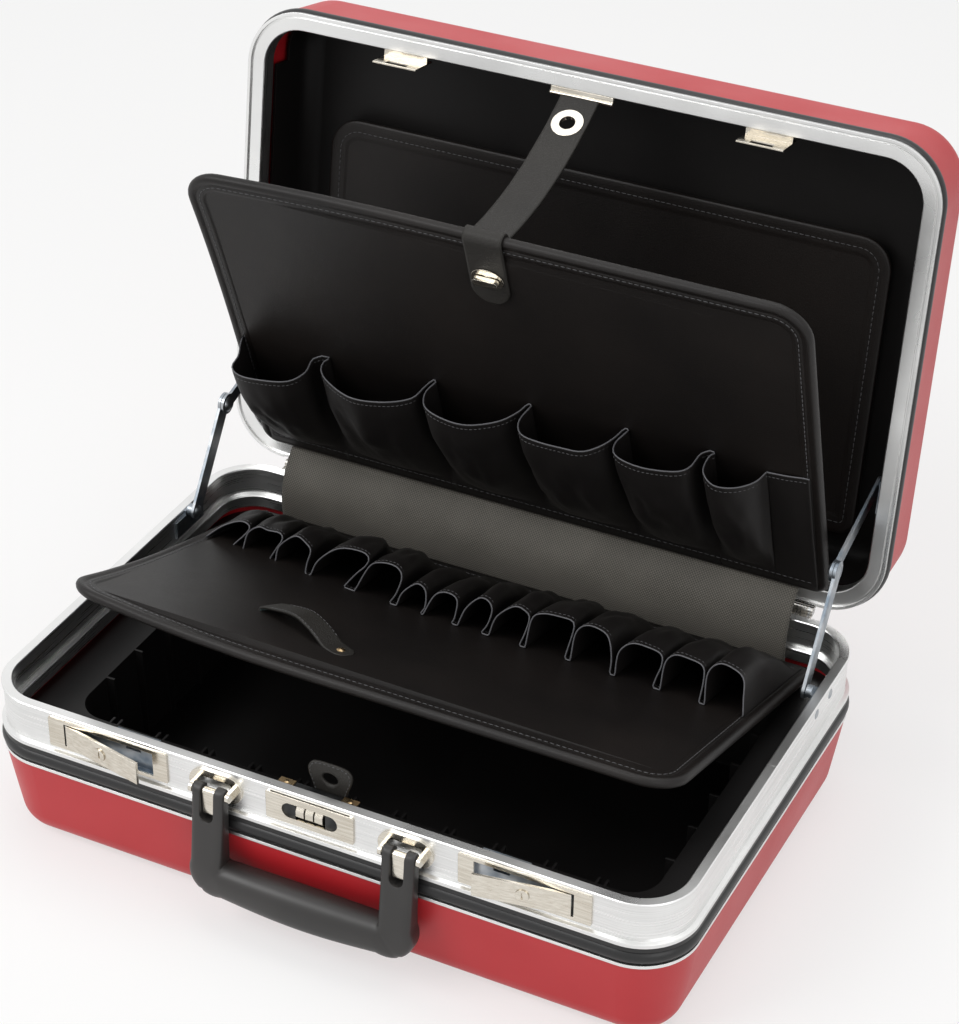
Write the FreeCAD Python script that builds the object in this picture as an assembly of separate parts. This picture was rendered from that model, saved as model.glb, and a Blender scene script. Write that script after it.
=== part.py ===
import FreeCAD, Part
import math
import os
from FreeCAD import Vector

# A hard tool case, open, as it stands on a bench. Millimetres, +Z up, front (handle side) at -Y, hinge at +Y.
# Every piece is built with the lid shut and heights counted from the rim plane, where base and lid meet.
# Pieces of the lid and of the boards are then turned to their open places, and all is lifted onto z = 0.

# Sizes of the whole case
opening_half_x = 230.0
opening_half_y = 148.0
opening_corner_r = 28.5
base_height = 112.0
lid_height = 68.0
lid_open_angle = 98.6
shell_wall = 2.6
cut_overrun = 1.0
running_gap = 0.06
rest_gap = 0.3
parallel_share = 0.9

# Base frame, an extruded section that holds the shell's edge in a groove
band_offset = 6.0
band_foot = 28.2
inner_band_height = 20.6
ledge_reach = 3.0
ledge_foot = 29.5
rim_ridge_reach = 1.0
rim_ridge_height = 1.8
rim_edge_r = 0.6
lip_reach = 2.7
lip_height = 3.3
frame_height = 47.0
lower_edge_height = 2.2
frame_wall = 1.2
shell_groove_width = 2.7
shell_groove_top = 26.0
groove_gap = 0.25

# Rubber edge strip of the base
strip_flat_height = 3.6
strip_flat_reach = 2.3
strip_bulge_reach = 3.6
strip_lead = 0.6

# Base shell
shell_shoulder_height = 2.8
shell_step = 0.5
base_draft_inset = 9.7
base_edge_r = 20.0

# Lid frame
lid_rim_inset = 1.0
lid_face_width = 8.6
lid_groove_width = 1.4
lid_groove_depth = 0.9
lid_ridge_width = 2.0
lid_ridge_drop = 0.8
lid_frame_height = 9.6
lid_inner_height = 12.0
lid_frame_wall = 1.6
lid_strip_reach = 1.5
lid_shell_top_edge_r = 20.0
lid_draft_inset = 3.8

# Hinge along the back
hinge_reach = 15.1
hinge_drop = 0.2
hinge_end_inset = 32.0
hinge_knuckles = 21
hinge_barrel_r = 2.7
hinge_pin_r = 1.2
hinge_leaf_thickness = 1.3
hinge_leaf_height = 20.0
hinge_lid_leaf_height = 17.0
hinge_knuckle_gap = 0.3
hinge_room = 2.0

# Tray insert in the base
tray_top = 36.0
tray_wall = 2.0
tray_flange_gap = 0.4
tray_side_ledge = 29.0
tray_front_ledge = 40.0
tray_floor_gap = 0.3
tray_draft = 3.0
tray_corner_r = 20.0
tray_rib_pitch = 34.0
tray_rib_pair_gap = 4.0
tray_rib_width = 1.6
tray_rib_reach = 3.0
tray_front_ribs = 11
tray_side_ribs = 5

# Lock plates, their windows and levers
plate_thickness = 1.2
lock_plate_length = 86.0
lock_plate_height = 22.0
lock_middle_share = 0.6196
plate_middle_drop = 14.5
plate_corner_r = 1.0
lock_window_length = 64.4
lock_window_height = 17.0
lock_window_shift = 0.5
lever_length = 60.0
lever_height = 16.0
lever_thickness = 1.8
lever_proud = 0.6
lever_pivot_from_middle = 28.5
lever_knuckle_r = 1.6
lever_end_reach = 1.2
lever_pin_r = 0.8
left_lever_rest_angle = 11.5
right_lever_rest_angle = 9.5
key_from_pivot = 28.0
key_cylinder_r = 4.2
key_cylinder_proud = 0.9
key_cylinder_depth = 2.6
key_slot_width = 1.0
key_slot_height = 4.8
key_slot_depth = 1.2

# Lock housings behind the plates, with the sliding bolts that hold the lid's catches
housing_length = 72.0
housing_height = 21.0
housing_wall_gap = 0.1
housing_inner_reach = 4.8
housing_recess_depth = 2.9
housing_end_length = 31.0
catch_from_middle = 16.5
bolt_length = 3.5
bolt_width = 10.0
bolt_height = 4.0
bolt_gap = 0.3
bolt_drop = 9.5
bolt_closed_reach = 7.4
bolt_travel_per_degree = 0.25

# Catches on the lid
catch_width = 31.0
catch_thickness = 1.0
catch_reach = 5.6
catch_drop = 14.0
catch_root_height = 8.0
catch_root_start = 2.0
catch_window_length = 15.0
catch_window_height = 6.0

# Combination lock
combination_plate_length = 60.0
combination_plate_height = 20.0
combination_window_length = 38.0
combination_window_height = 11.0
combination_housing_half = 27.0
combination_housing_height = 21.0
combination_housing_depth = 13.5
combination_housing_wall = 1.0
dial_count = 3
dial_sides = 10
dial_r = 7.0
dial_thickness = 5.4
dial_pitch = 6.4
dial_proud = 0.7
dial_room = 0.5
dial_axle_r = 1.5
dial_axle_half = 14.0

# Carrying handle and its plates on the band
handle_side_share = 0.2826
handle_plate_length = 37.0
handle_plate_height = 20.0
handle_plate_window_length = 26.0
handle_plate_window_height = 10.0
handle_plate_thickness = 1.5
handle_pin_reach = 7.5
handle_pin_r = 1.8
handle_post_width = 2.4
handle_post_r = 3.2
handle_arm_width = 22.0
handle_arm_thickness = 10.5
handle_arm_top_r = 4.8
handle_arm_lean = 5.5
handle_drop = 62.5
handle_grip_height = 28.0
handle_grip_depth = 24.0
handle_grip_end_share = 0.86
handle_fork_width = 9.6
handle_fork_depth = 19.0
handle_clip_width = 8.4
handle_clip_thickness = 1.0
handle_clip_height = 15.0

# Stays that hold the lid, seen from the side: two arms joined at a knee
stay_foot_from_hinge = 80.5
stay_foot_drop = 1.5
stay_lower_length = 76.7
stay_upper_length = 80.0
stay_lower_rest_angle = 55.9
stay_upper_rest_angle = 15.4
stay_inset = 8.0
stay_arm_width = 11.0
stay_upper_width = 9.0
stay_arm_thickness = 2.0
stay_arm_gap = 0.3
stay_knee_r = 7.2
stay_rivet_r = 3.0
stay_rivet_head_r = 5.6
stay_rivet_head_height = 2.6
stay_foot_rivet_r = 2.4
stay_foot_head_r = 4.2
stay_bracket_thickness = 1.6
stay_bracket_length = 34.0
stay_bracket_height = 15.0
stay_bracket_boss_r = 5.0
stay_lid_bracket_half = 11.0
stay_lid_bracket_top = 9.0
stay_lid_bracket_foot = 4.0
stay_open_gap = 0.3
rivet_head_r = 3.4
rivet_head_height = 0.9

# Boards that close over the tools, and what is sewn on them
board_thickness = 4.4
board_edge_r = 3.4
board_edge_round_share = 0.96
board_side_gap = 20.0
board_corner_r = 30.0
board_back_corner_r = 12.0
upper_board_length = 263.0
upper_board_hinge_gap = 0.5
upper_board_rest_angle = 27.3
upper_board_hinge_inset = 4.6
upper_board_drop = 8.5
lower_board_length = 252.0
lower_board_hinge_gap = 1.85
lower_board_rest_angle = 17.0
lower_board_hinge_inset = 6.6
lower_board_drop = 31.6
pocket_fabric = 1.2
pocket_seam_half = 2.0
pocket_foot_rise = 1.0
upper_pocket_start = 14.0
upper_pocket_end = 112.0
upper_pocket_side = 8.0
upper_pocket_crown = 9.0
upper_pocket_seams_share = [-1.0, -0.693, -0.29, 0.044, 0.373, 0.673, 0.85]
lower_pocket_start = 16.0
lower_pocket_end = 104.0
lower_pocket_side = 9.0
lower_pocket_crown = 6.0
lower_pocket_seams_share = [-1.0, -0.878, -0.727, -0.576, -0.424, -0.249, -0.13, -0.02,
                            0.088, 0.224, 0.378, 0.537, 0.683, 0.863, 1.0]
board_rivet_places_share = [-0.65, -0.26, 0.29, 0.67]
board_rivet_line = 6.2
board_rivet_r = 2.8
board_rivet_height = 1.0

# Finger strap on the lower board
finger_strap_length = 74.0
finger_strap_end = 8.0
finger_strap_width = 17.0
finger_strap_thickness = 1.8
finger_strap_loop_r = 2.6
finger_strap_rise = 15.0
finger_strap_turn = -113.5
finger_rivet_x = -31.5
finger_rivet_from_hinge = 209.5
finger_rivet_r = 3.0
finger_rivet_height = 1.4

# Strap from the lid's frame to the upper board, and its turn lock
strap_width = 26.0
strap_thickness = 2.0
strap_sag = 9.0
strap_edge_r = 6.0
strap_tail = 55.0
strap_start_gap = 1.5
strap_eyelet_from_start = 20.5
strap_eyelet_r = 10.4
strap_eyelet_hole_r = 5.2
strap_eyelet_proud = 0.6
strap_bracket_length = 43.0
strap_bracket_wall = 1.4
strap_bracket_reach = 4.2
strap_bracket_height = 9.0
strap_wire_r = 1.3
lock_from_top = 33.0
lock_base_r = 7.5
lock_base_thickness = 0.8
lock_post_r = 3.0
lock_hole_r = 4.4
lock_washer_half_length = 11.0
lock_washer_half_height = 8.0
lock_washer_thickness = 0.8
lock_knob_length = 17.0
lock_knob_width = 5.0
lock_knob_height = 3.6
lock_knob_round_share = 0.45
lock_spindle_r = 1.2
lock_spindle_length = 2.4

# Lining and document pocket in the lid
lining_start = 24.0
lining_offset = 4.6
lining_draft = 3.6
lining_wall = 1.5
lining_gap = 0.3
lining_edge_r = 14.0
lining_corner_notch = 46.0
lining_notch_depth = 14.0
lining_stay_notch_half = 24.0
lining_stay_notch_depth = 20.0
panel_side_gap = 28.0
panel_top_y = 78.0
panel_foot_y = 128.0
panel_thickness = 3.0
panel_corner_r = 22.0
panel_height = 48.6
gusset_inset = 6.0
gusset_width = 7.0
gusset_top_y = 14.0

# Small fittings inside the base's front
tab_x = 6.0
tab_width = 30.0
tab_thickness = 1.8
tab_length = 36.0
tab_hole_r = 5.0
tab_lean = 2.0
tab_round_share = 0.4
screw_plate_length = 10.5
screw_plate_depth = 6.0
screw_plate_thickness = 0.9
screw_head_r = 1.6

# Woven strip between the boards
spine_end_inset = 41.0
spine_thickness = 1.2
spine_bulge = 8.0
spine_end_gap = 0.6

# Places worked out from the sizes above
lock_plate_middle_x = opening_half_x * lock_middle_share
lock_window_middle_x = lock_plate_middle_x - lock_window_shift
lever_pivot_x = lock_plate_middle_x + lever_pivot_from_middle
catch_middle_x = lock_plate_middle_x - catch_from_middle
handle_side_x = opening_half_x * handle_side_share
hinge_half_length = opening_half_x - hinge_end_inset
stay_middle_x = opening_half_x - stay_inset
board_half_x = opening_half_x - board_side_gap
panel_half_x = opening_half_x - panel_side_gap
spine_half_x = opening_half_x - spine_end_inset
pocket_half_x = board_half_x - 2 * board_edge_r - rest_gap
hinge_y = opening_half_y + hinge_reach
hinge_z = -hinge_drop
band_y = -(opening_half_y + band_offset)
plate_face_y = band_y - plate_thickness
middle_z = -plate_middle_drop
lid_start_offset = -lid_rim_inset
lid_groove_offset = lid_start_offset + lid_face_width
lid_ridge_offset = lid_groove_offset + lid_groove_width
lid_outer_offset = lid_ridge_offset + lid_ridge_width
upper_hinge_y = opening_half_y - upper_board_hinge_inset
upper_hinge_z = -upper_board_drop
lower_hinge_y = opening_half_y - lower_board_hinge_inset
lower_hinge_z = -lower_board_drop
tray_floor_z = -(base_height - shell_wall - tray_floor_gap)

made = []


# Shared shapes

def rim_wire(offset, height):
    """Rounded rectangle that runs round the case, offset outward from the rim's inner edge."""
    half_x, half_y, r = opening_half_x + offset, opening_half_y + offset, opening_corner_r + offset
    return rounded_wire(half_x, half_y, r, height)


def rounded_wire(half_x, half_y, r, height):
    edges = []
    corners = [(1, -1), (1, 1), (-1, 1), (-1, -1)]
    ends = []
    for index, (sx, sy) in enumerate(corners):
        centre = Vector(sx * (half_x - r), sy * (half_y - r), height)
        start_angle = math.radians(90 * index - 90)
        points = [centre + Vector(math.cos(a), math.sin(a), 0) * r
                  for a in (start_angle, start_angle + math.pi / 4, start_angle + math.pi / 2)]
        ends.append(points)
    for index in range(len(ends)):
        start, middle, end = ends[index]
        edges.append(Part.Arc(start, middle, end).toShape())
        edges.append(Part.LineSegment(end, ends[(index + 1) % len(ends)][0]).toShape())
    return Part.Wire(edges)


def rim_slab(offset, low, high):
    return Part.Face(rim_wire(offset, low)).extrude(Vector(0, 0, high - low))


def rim_ring(outer, inner, low, high):
    return rim_slab(outer, low, high).cut(rim_slab(inner, low - cut_overrun, high + cut_overrun))


def rim_loft(low_offset, low, high_offset, high):
    return Part.makeLoft([rim_wire(low_offset, low), rim_wire(high_offset, high)], True, True)


def rim_sweep(section):
    """Carry a closed section of (offset, height) edges round the case: straight sides and turned corners."""
    face = Part.Face(section)
    straight_x, straight_y = opening_half_x - opening_corner_r, opening_half_y - opening_corner_r
    side = face.copy()
    side.translate(Vector(opening_half_x, -straight_y, 0))
    side = side.extrude(Vector(0, 2 * straight_y, 0))
    corner = face.copy()
    corner.translate(Vector(opening_half_x, straight_y, 0))
    corner = corner.revolve(Vector(straight_x, straight_y, 0), Vector(0, 0, 1), 90)
    back = face.copy()
    back.rotate(Vector(0, 0, 0), Vector(0, 0, 1), 90)
    back.translate(Vector(straight_x, opening_half_y, 0))
    back = back.extrude(Vector(-2 * straight_x, 0, 0))
    other_corner = face.copy()
    other_corner.rotate(Vector(0, 0, 0), Vector(0, 0, 1), 90)
    other_corner.translate(Vector(-straight_x, opening_half_y, 0))
    other_corner = other_corner.revolve(Vector(-straight_x, straight_y, 0), Vector(0, 0, 1), 90)
    half = [side, corner, back, other_corner]
    other_half = []
    for piece in half:
        turned = piece.copy()
        turned.rotate(Vector(0, 0, 0), Vector(0, 0, 1), 180)
        other_half.append(turned)
    return joined(half + other_half)


def joined(pieces):
    whole = pieces[0].multiFuse(pieces[1:]) if len(pieces) > 1 else pieces[0]
    return whole.removeSplitter()


def polygon(points):
    """Closed wire through (y, z) points at x = 0, in the order given."""
    corners = [Vector(0, y, z) for y, z in points]
    return Part.Wire([Part.LineSegment(a, b).toShape() for a, b in zip(corners, corners[1:] + corners[:1])])


def section_polygon(points):
    """Closed wire through (offset, height) points, standing on the plane y = 0."""
    corners = [Vector(offset, 0, height) for offset, height in points]
    return Part.Wire([Part.LineSegment(a, b).toShape() for a, b in zip(corners, corners[1:] + corners[:1])])


def side_prism(points, x_low, x_high):
    """Prism along X over a closed outline of (y, z) points."""
    prism = Part.Face(polygon(points)).extrude(Vector(x_high - x_low, 0, 0))
    prism.translate(Vector(x_low, 0, 0))
    return prism


def box(x_low, x_high, y_low, y_high, z_low, z_high):
    return Part.makeBox(x_high - x_low, y_high - y_low, z_high - z_low, Vector(x_low, y_low, z_low))


def rod(r, start, end):
    return Part.makeCylinder(r, (end - start).Length, start, end - start)


def stadium_plate(length, height, x, z, y_low, y_high):
    """Plate on the front band with round ends, lying between two depths."""
    r = height / 2
    run = length / 2 - r
    body = box(x - run, x + run, y_low, y_high, z - r, z + r)
    ends = [rod(r, Vector(x + s * run, y_low, z), Vector(x + s * run, y_high, z)) for s in (-1, 1)]
    return joined([body] + ends)


def rounded_plate(length, height, x, z, y_low, y_high, r):
    """Plate on the front band with rounded corners, lying between two depths."""
    plate = box(x - length / 2, x + length / 2, y_low, y_high, z - height / 2, z + height / 2)
    corners = [edge for edge in plate.Edges if edge.Length < y_high - y_low + rest_gap
               and abs(edge.tangentAt(edge.FirstParameter).y) > parallel_share]
    return plate.makeFillet(r, corners)


def flat_board(half_x, length, front_r, back_r, low, high):
    """Board lying along -Y from its back edge at y = 0, with rounded corners."""
    straight = half_x - front_r
    points = []
    for sx, sy, r in ((1, 0, back_r), (1, 1, front_r), (-1, 1, front_r), (-1, 0, back_r)):
        centre = Vector(sx * (half_x - r), -(length - r) if sy else -r, low)
        points.append((centre, r, sx, sy))
    arcs = []
    for centre, r, sx, sy in points:
        across = Vector(sx * r, 0, 0)
        along = Vector(0, -r if sy else r, 0)
        middle = centre + (across + along) * (1 / math.sqrt(2))
        first, last = (centre + along, centre + across) if (sx > 0) == (not sy) else (centre + across, centre + along)
        arcs.append((first, middle, last))
    edges = []
    for index, (first, middle, last) in enumerate(arcs):
        edges.append(Part.Arc(first, middle, last).toShape())
        edges.append(Part.LineSegment(last, arcs[(index + 1) % len(arcs)][0]).toShape())
    return Part.Face(Part.Wire(edges)).extrude(Vector(0, 0, high - low))


def dome(head_r, head_height, centre, direction):
    """Rivet head: a cap of a ball that stands on a face."""
    ball_r = (head_r * head_r + head_height * head_height) / (2 * head_height)
    ball = Part.makeSphere(ball_r, centre - direction * (ball_r - head_height))
    keep = Part.makeCylinder(head_r + cut_overrun, head_height + cut_overrun, centre, direction)
    return ball.common(keep)


def mirrored(shape):
    return shape.mirror(Vector(0, 0, 0), Vector(1, 0, 0))


def on_open_lid(shape):
    turned = shape.copy()
    turned.rotate(Vector(0, hinge_y, hinge_z), Vector(1, 0, 0), -lid_open_angle)
    return turned


def on_upper_board(shape):
    """A shape drawn with the board's back edge at y = 0 and its middle plane at z = 0, moved to its place."""
    placed = shape.copy()
    placed.translate(Vector(0, upper_hinge_y, upper_hinge_z))
    placed.rotate(Vector(0, upper_hinge_y, upper_hinge_z), Vector(1, 0, 0), upper_board_rest_angle)
    return on_open_lid(placed)


def on_lower_board(shape):
    placed = shape.copy()
    placed.translate(Vector(0, lower_hinge_y, lower_hinge_z))
    placed.rotate(Vector(0, lower_hinge_y, lower_hinge_z), Vector(1, 0, 0), -lower_board_rest_angle)
    return placed


def keep_piece(name, shape):
    lifted = shape.copy()
    lifted.translate(Vector(0, 0, base_height))
    made.append(name)
    os.makedirs("parts", exist_ok=True)
    lifted.exportStep("parts/" + name + ".step")
    print(name, "solids", len(lifted.Solids), "valid", lifted.isValid(), "volume", round(lifted.Volume))


# Base: shell, frame and edge strip

def base_frame():
    groove_outer = band_offset - frame_wall
    groove_inner = groove_outer - shell_groove_width
    section = section_polygon([
        (rim_edge_r, 0), (band_offset + rim_ridge_reach - rim_edge_r, 0),
        (band_offset + rim_ridge_reach, -rim_edge_r), (band_offset + rim_ridge_reach, -rim_ridge_height),
        (band_offset, -rim_ridge_height - rim_edge_r), (band_offset, -band_foot),
        (band_offset + lip_reach, -band_foot - rim_edge_r), (band_offset + lip_reach, -band_foot - lip_height),
        (band_offset, -band_foot - lip_height), (band_offset, -frame_height + lower_edge_height),
        (band_offset + lip_reach, -frame_height + lower_edge_height), (band_offset + lip_reach, -frame_height),
        (groove_outer, -frame_height), (groove_outer, -shell_groove_top),
        (groove_inner, -shell_groove_top), (groove_inner, -ledge_foot), (-ledge_reach, -ledge_foot),
        (-ledge_reach, -inner_band_height - rim_edge_r), (-ledge_reach + rim_edge_r, -inner_band_height),
        (0, -inner_band_height), (0, -rim_edge_r)])
    frame = rim_sweep(section)
    for side in (-1, 1):
        frame = frame.cut(lock_housing_room(side))
    frame = frame.cut(combination_housing_room()).cut(hinge_seat())
    for side in (-1, 1):
        frame = frame.cut(stadium_plate(handle_plate_window_length, handle_plate_window_height,
                                        side * handle_side_x, middle_z, band_y - cut_overrun,
                                        band_y + (band_offset - frame_wall) / 2))
    return frame


def frame_length(sign):
    """One of the two bent lengths of the base frame, which meet in the middle of the case's sides."""
    reach_x, reach_y = opening_half_x + 2 * band_offset, opening_half_y + 2 * band_offset
    half = box(-reach_x, reach_x, 0, reach_y, -frame_height - cut_overrun, cut_overrun)
    if sign < 0:
        half.translate(Vector(0, -reach_y, 0))
    return base_frame().common(half)


def hinge_seat():
    """The ridge is milled off where the hinge leaf lies on the band."""
    half = hinge_half_length + hinge_room
    back = opening_half_y + band_offset
    return box(-half, half, back, back + rim_ridge_reach + cut_overrun,
               -rim_ridge_height - 2 * rim_edge_r, cut_overrun)


def lock_housing_room(side):
    x = side * lock_window_middle_x
    half, tall = housing_length / 2 + housing_wall_gap, housing_height / 2 + housing_wall_gap
    room = box(x - half, x + half, band_y - cut_overrun, -opening_half_y, middle_z - tall, middle_z + tall)
    end_x = side * catch_middle_x
    end_half = housing_end_length / 2 + housing_wall_gap
    end = box(end_x - end_half, end_x + end_half, band_y, -opening_half_y + ledge_reach + cut_overrun,
              middle_z - tall, middle_z + tall)
    return joined([room, end])


def combination_housing_room():
    half, tall = combination_housing_half + housing_wall_gap, combination_housing_height / 2 + housing_wall_gap
    return box(-half, half, band_y - cut_overrun, -opening_half_y + ledge_reach + cut_overrun,
               middle_z - tall, middle_z + tall)


def base_edge_strip():
    """Rubber strip with a flat upper band and a round bead below it."""
    top = -band_foot - lip_height
    foot = -frame_height + lower_edge_height
    flat_foot = top - strip_flat_height
    corners = [Vector(band_offset, 0, foot), Vector(band_offset, 0, top),
               Vector(band_offset + strip_flat_reach, 0, top), Vector(band_offset + strip_flat_reach, 0, flat_foot),
               Vector(band_offset + strip_lead, 0, flat_foot), Vector(band_offset + strip_lead, 0, foot)]
    edges = [Part.LineSegment(a, b).toShape() for a, b in zip(corners, corners[1:5])]
    bulge = Vector(band_offset + strip_bulge_reach, 0, (flat_foot + foot) / 2)
    edges.append(Part.Arc(corners[4], bulge, corners[5]).toShape())
    edges.append(Part.LineSegment(corners[5], corners[0]).toShape())
    return rim_sweep(Part.Wire(edges))


def drafted_body(start_offset, start, inset, end, edge_r):
    """Drafted block between two heights whose far edge is rounded."""
    body = rim_loft(start_offset, start, start_offset - inset, end)
    far = [edge for edge in body.Edges if abs(edge.BoundBox.ZMin - end) < rest_gap
           and abs(edge.BoundBox.ZMax - end) < rest_gap]
    return body.makeFillet(edge_r, far)


def base_shell():
    outer_offset = band_offset + lip_reach - shell_step
    outer = drafted_body(outer_offset, -frame_height, base_draft_inset, -base_height, base_edge_r)
    inner = drafted_body(outer_offset - shell_wall, -frame_height - shell_shoulder_height,
                         base_draft_inset * (base_height - shell_wall - frame_height - shell_shoulder_height)
                         / (base_height - frame_height), -base_height + shell_wall, base_edge_r - shell_wall)
    tongue_outer = band_offset - frame_wall - groove_gap
    tongue_inner = tongue_outer - shell_groove_width + 2 * groove_gap
    core = rim_slab(tongue_inner, -frame_height - shell_shoulder_height - cut_overrun, -frame_height + cut_overrun)
    tongue = rim_ring(tongue_outer, tongue_inner, -frame_height, -shell_groove_top - groove_gap)
    return joined([outer.cut(inner).cut(core), tongue])


# Lid: shell, frame and edge strip, drawn shut

def lid_frame():
    root = lid_outer_offset - lid_strip_reach
    section = section_polygon([
        (lid_start_offset + rim_edge_r, 0), (lid_groove_offset, 0), (lid_groove_offset, lid_groove_depth),
        (lid_ridge_offset, lid_groove_depth), (lid_ridge_offset, -lid_ridge_drop),
        (lid_outer_offset, -lid_ridge_drop), (lid_outer_offset, rim_ridge_height),
        (root, rim_ridge_height), (root, lid_frame_height),
        (root - lid_frame_wall, lid_frame_height), (root - lid_frame_wall, rim_ridge_height + lid_frame_wall),
        (lid_start_offset + lid_frame_wall, rim_ridge_height + lid_frame_wall),
        (lid_start_offset + lid_frame_wall, lid_inner_height), (lid_start_offset, lid_inner_height),
        (lid_start_offset, rim_edge_r)])
    return rim_sweep(section).cut(lid_hinge_room())


def lid_hinge_room():
    """The lid's back edge steps in along the hinge, so that barrel and leaves have room."""
    half = hinge_half_length + hinge_room
    inner = hinge_y - hinge_barrel_r - hinge_room
    return box(-half, half, inner, hinge_y + hinge_reach, -hinge_room, lid_frame_height)


def lid_edge_strip():
    root = lid_outer_offset - lid_strip_reach
    low, high = rim_ridge_height, lid_frame_height
    corners = [Vector(root, 0, low), Vector(root, 0, high), Vector(lid_outer_offset, 0, high),
               Vector(lid_outer_offset, 0, low)]
    bulge = Vector(lid_outer_offset + lid_strip_reach, 0, (low + high) / 2)
    edges = [Part.LineSegment(corners[0], corners[1]).toShape(), Part.LineSegment(corners[1], corners[2]).toShape(),
             Part.Arc(corners[2], bulge, corners[3]).toShape(), Part.LineSegment(corners[3], corners[0]).toShape()]
    return rim_sweep(Part.Wire(edges)).cut(lid_hinge_room())


def lid_shell():
    outer_offset = lid_outer_offset
    start = lid_frame_height
    outer = drafted_body(outer_offset, start, lid_draft_inset, lid_height, lid_shell_top_edge_r)
    inner_start = start + shell_wall
    inner = drafted_body(outer_offset - shell_wall, inner_start,
                         lid_draft_inset * (lid_height - shell_wall - inner_start) / (lid_height - start),
                         lid_height - shell_wall, lid_shell_top_edge_r - shell_wall)
    root = lid_outer_offset - lid_strip_reach - lid_frame_wall
    tongue_inner = root - shell_wall
    mouth = rim_slab(tongue_inner, start - cut_overrun, inner_start + cut_overrun)
    tongue = rim_ring(root, tongue_inner, rim_ridge_height + lid_frame_wall, start)
    return joined([outer.cut(inner).cut(mouth), tongue])


# Hinge: two leaves with knuckles in turn, and one long pin

def hinge_knuckle_spans(even):
    pitch = 2 * hinge_half_length / hinge_knuckles
    for index in range(hinge_knuckles):
        if (index % 2 == 0) == even:
            low = -hinge_half_length + index * pitch
            yield low + hinge_knuckle_gap / 2, low + pitch - hinge_knuckle_gap / 2


def hinge_leaf(plate, even, room):
    """A leaf keeps its barrel only at its own knuckles and stands clear of the other leaf's."""
    pieces = [plate.cut(rod(hinge_barrel_r + room, Vector(-hinge_half_length - cut_overrun, hinge_y, hinge_z),
                            Vector(hinge_half_length + cut_overrun, hinge_y, hinge_z)))]
    for low, high in hinge_knuckle_spans(even):
        span = box(low, high, hinge_y - hinge_reach, hinge_y + hinge_reach, -lid_height, lid_height)
        pieces.append(rod(hinge_barrel_r, Vector(low, hinge_y, hinge_z), Vector(high, hinge_y, hinge_z)))
        pieces.append(plate.common(span))
    bore = rod(hinge_pin_r + running_gap, Vector(-hinge_half_length - cut_overrun, hinge_y, hinge_z),
               Vector(hinge_half_length + cut_overrun, hinge_y, hinge_z))
    return joined(pieces).cut(bore)


def hinge_base_leaf():
    """The leaf stands on the band's back face and reaches out under the barrel."""
    face = opening_half_y + band_offset
    arm_top = hinge_z - hinge_barrel_r + hinge_leaf_thickness
    arm_foot = hinge_z - hinge_barrel_r
    foot = arm_foot - hinge_leaf_height
    plate = side_prism([(face, foot), (face + hinge_leaf_thickness, foot), (face + hinge_leaf_thickness, arm_foot),
                        (hinge_y, arm_foot), (hinge_y, arm_top), (face, arm_top)],
                       -hinge_half_length, hinge_half_length)
    return hinge_leaf(plate, True, rest_gap)


def hinge_lid_leaf():
    """The leaf lies on the back of the lid's shell and comes down to the barrel."""
    face = opening_half_y + lid_outer_offset
    recede = lid_draft_inset * hinge_lid_leaf_height / (lid_height - lid_frame_height)
    top = lid_frame_height + hinge_lid_leaf_height
    outer = max(face + hinge_leaf_thickness, hinge_y - hinge_barrel_r + hinge_leaf_thickness)
    plate = side_prism([(outer - hinge_leaf_thickness, hinge_z), (outer, hinge_z), (outer, lid_frame_height),
                        (face - recede + hinge_leaf_thickness, top), (face - recede, top),
                        (face, lid_frame_height)], -hinge_half_length, hinge_half_length)
    return hinge_leaf(plate, False, rest_gap)


def hinge_pin():
    return rod(hinge_pin_r, Vector(-hinge_half_length, hinge_y, hinge_z), Vector(hinge_half_length, hinge_y, hinge_z))


# Tray insert

def tray_block(shrink, low, high):
    """Inside or outside of the tray: a drafted block, set back further at the front than at the other sides."""
    def outline(extra, height):
        half_x = opening_half_x - tray_side_ledge - shrink - extra
        back = opening_half_y - tray_side_ledge - shrink - extra
        front = opening_half_y - tray_front_ledge - shrink - extra
        half_y = (back + front) / 2
        wire = rounded_wire(half_x, half_y, tray_corner_r - shrink, height)
        wire.translate(Vector(0, back - half_y, 0))
        return wire
    return Part.makeLoft([outline(tray_draft, low), outline(0, high)], True, True)


def base_insert_tray():
    top = -tray_top
    flange_edge = band_offset - frame_wall - shell_groove_width + groove_gap - tray_flange_gap
    flange = rim_slab(flange_edge, top - tray_wall, top)
    outer = tray_block(-tray_wall, tray_floor_z, top)
    inner = tray_block(0, tray_floor_z + tray_wall, top + cut_overrun)
    tray = joined([flange, outer]).cut(inner)
    low, high = tray_floor_z + tray_wall / 2, top
    front_y = -(opening_half_y - tray_front_ledge)
    ribs = []
    for x in evenly(tray_front_ribs, tray_rib_pitch):
        for step in (-1, 1):
            middle = x + step * (tray_rib_pair_gap + tray_rib_width) / 2
            ribs.append(box(middle - tray_rib_width / 2, middle + tray_rib_width / 2,
                            front_y - tray_wall / 2, front_y + tray_rib_reach + tray_draft, low, high))
    side_x = opening_half_x - tray_side_ledge
    for y in evenly(tray_side_ribs, tray_rib_pitch):
        for side in (-1, 1):
            near = side * (side_x + tray_wall / 2)
            far = side * (side_x - tray_rib_reach - tray_draft)
            ribs.append(box(min(near, far), max(near, far), y - tray_rib_width / 2, y + tray_rib_width / 2, low, high))
    return joined([tray] + ribs)


def evenly(count, pitch):
    return [(index - (count - 1) / 2) * pitch for index in range(count)]


# Lock plates, housings, levers, key cylinders and bolts

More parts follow.
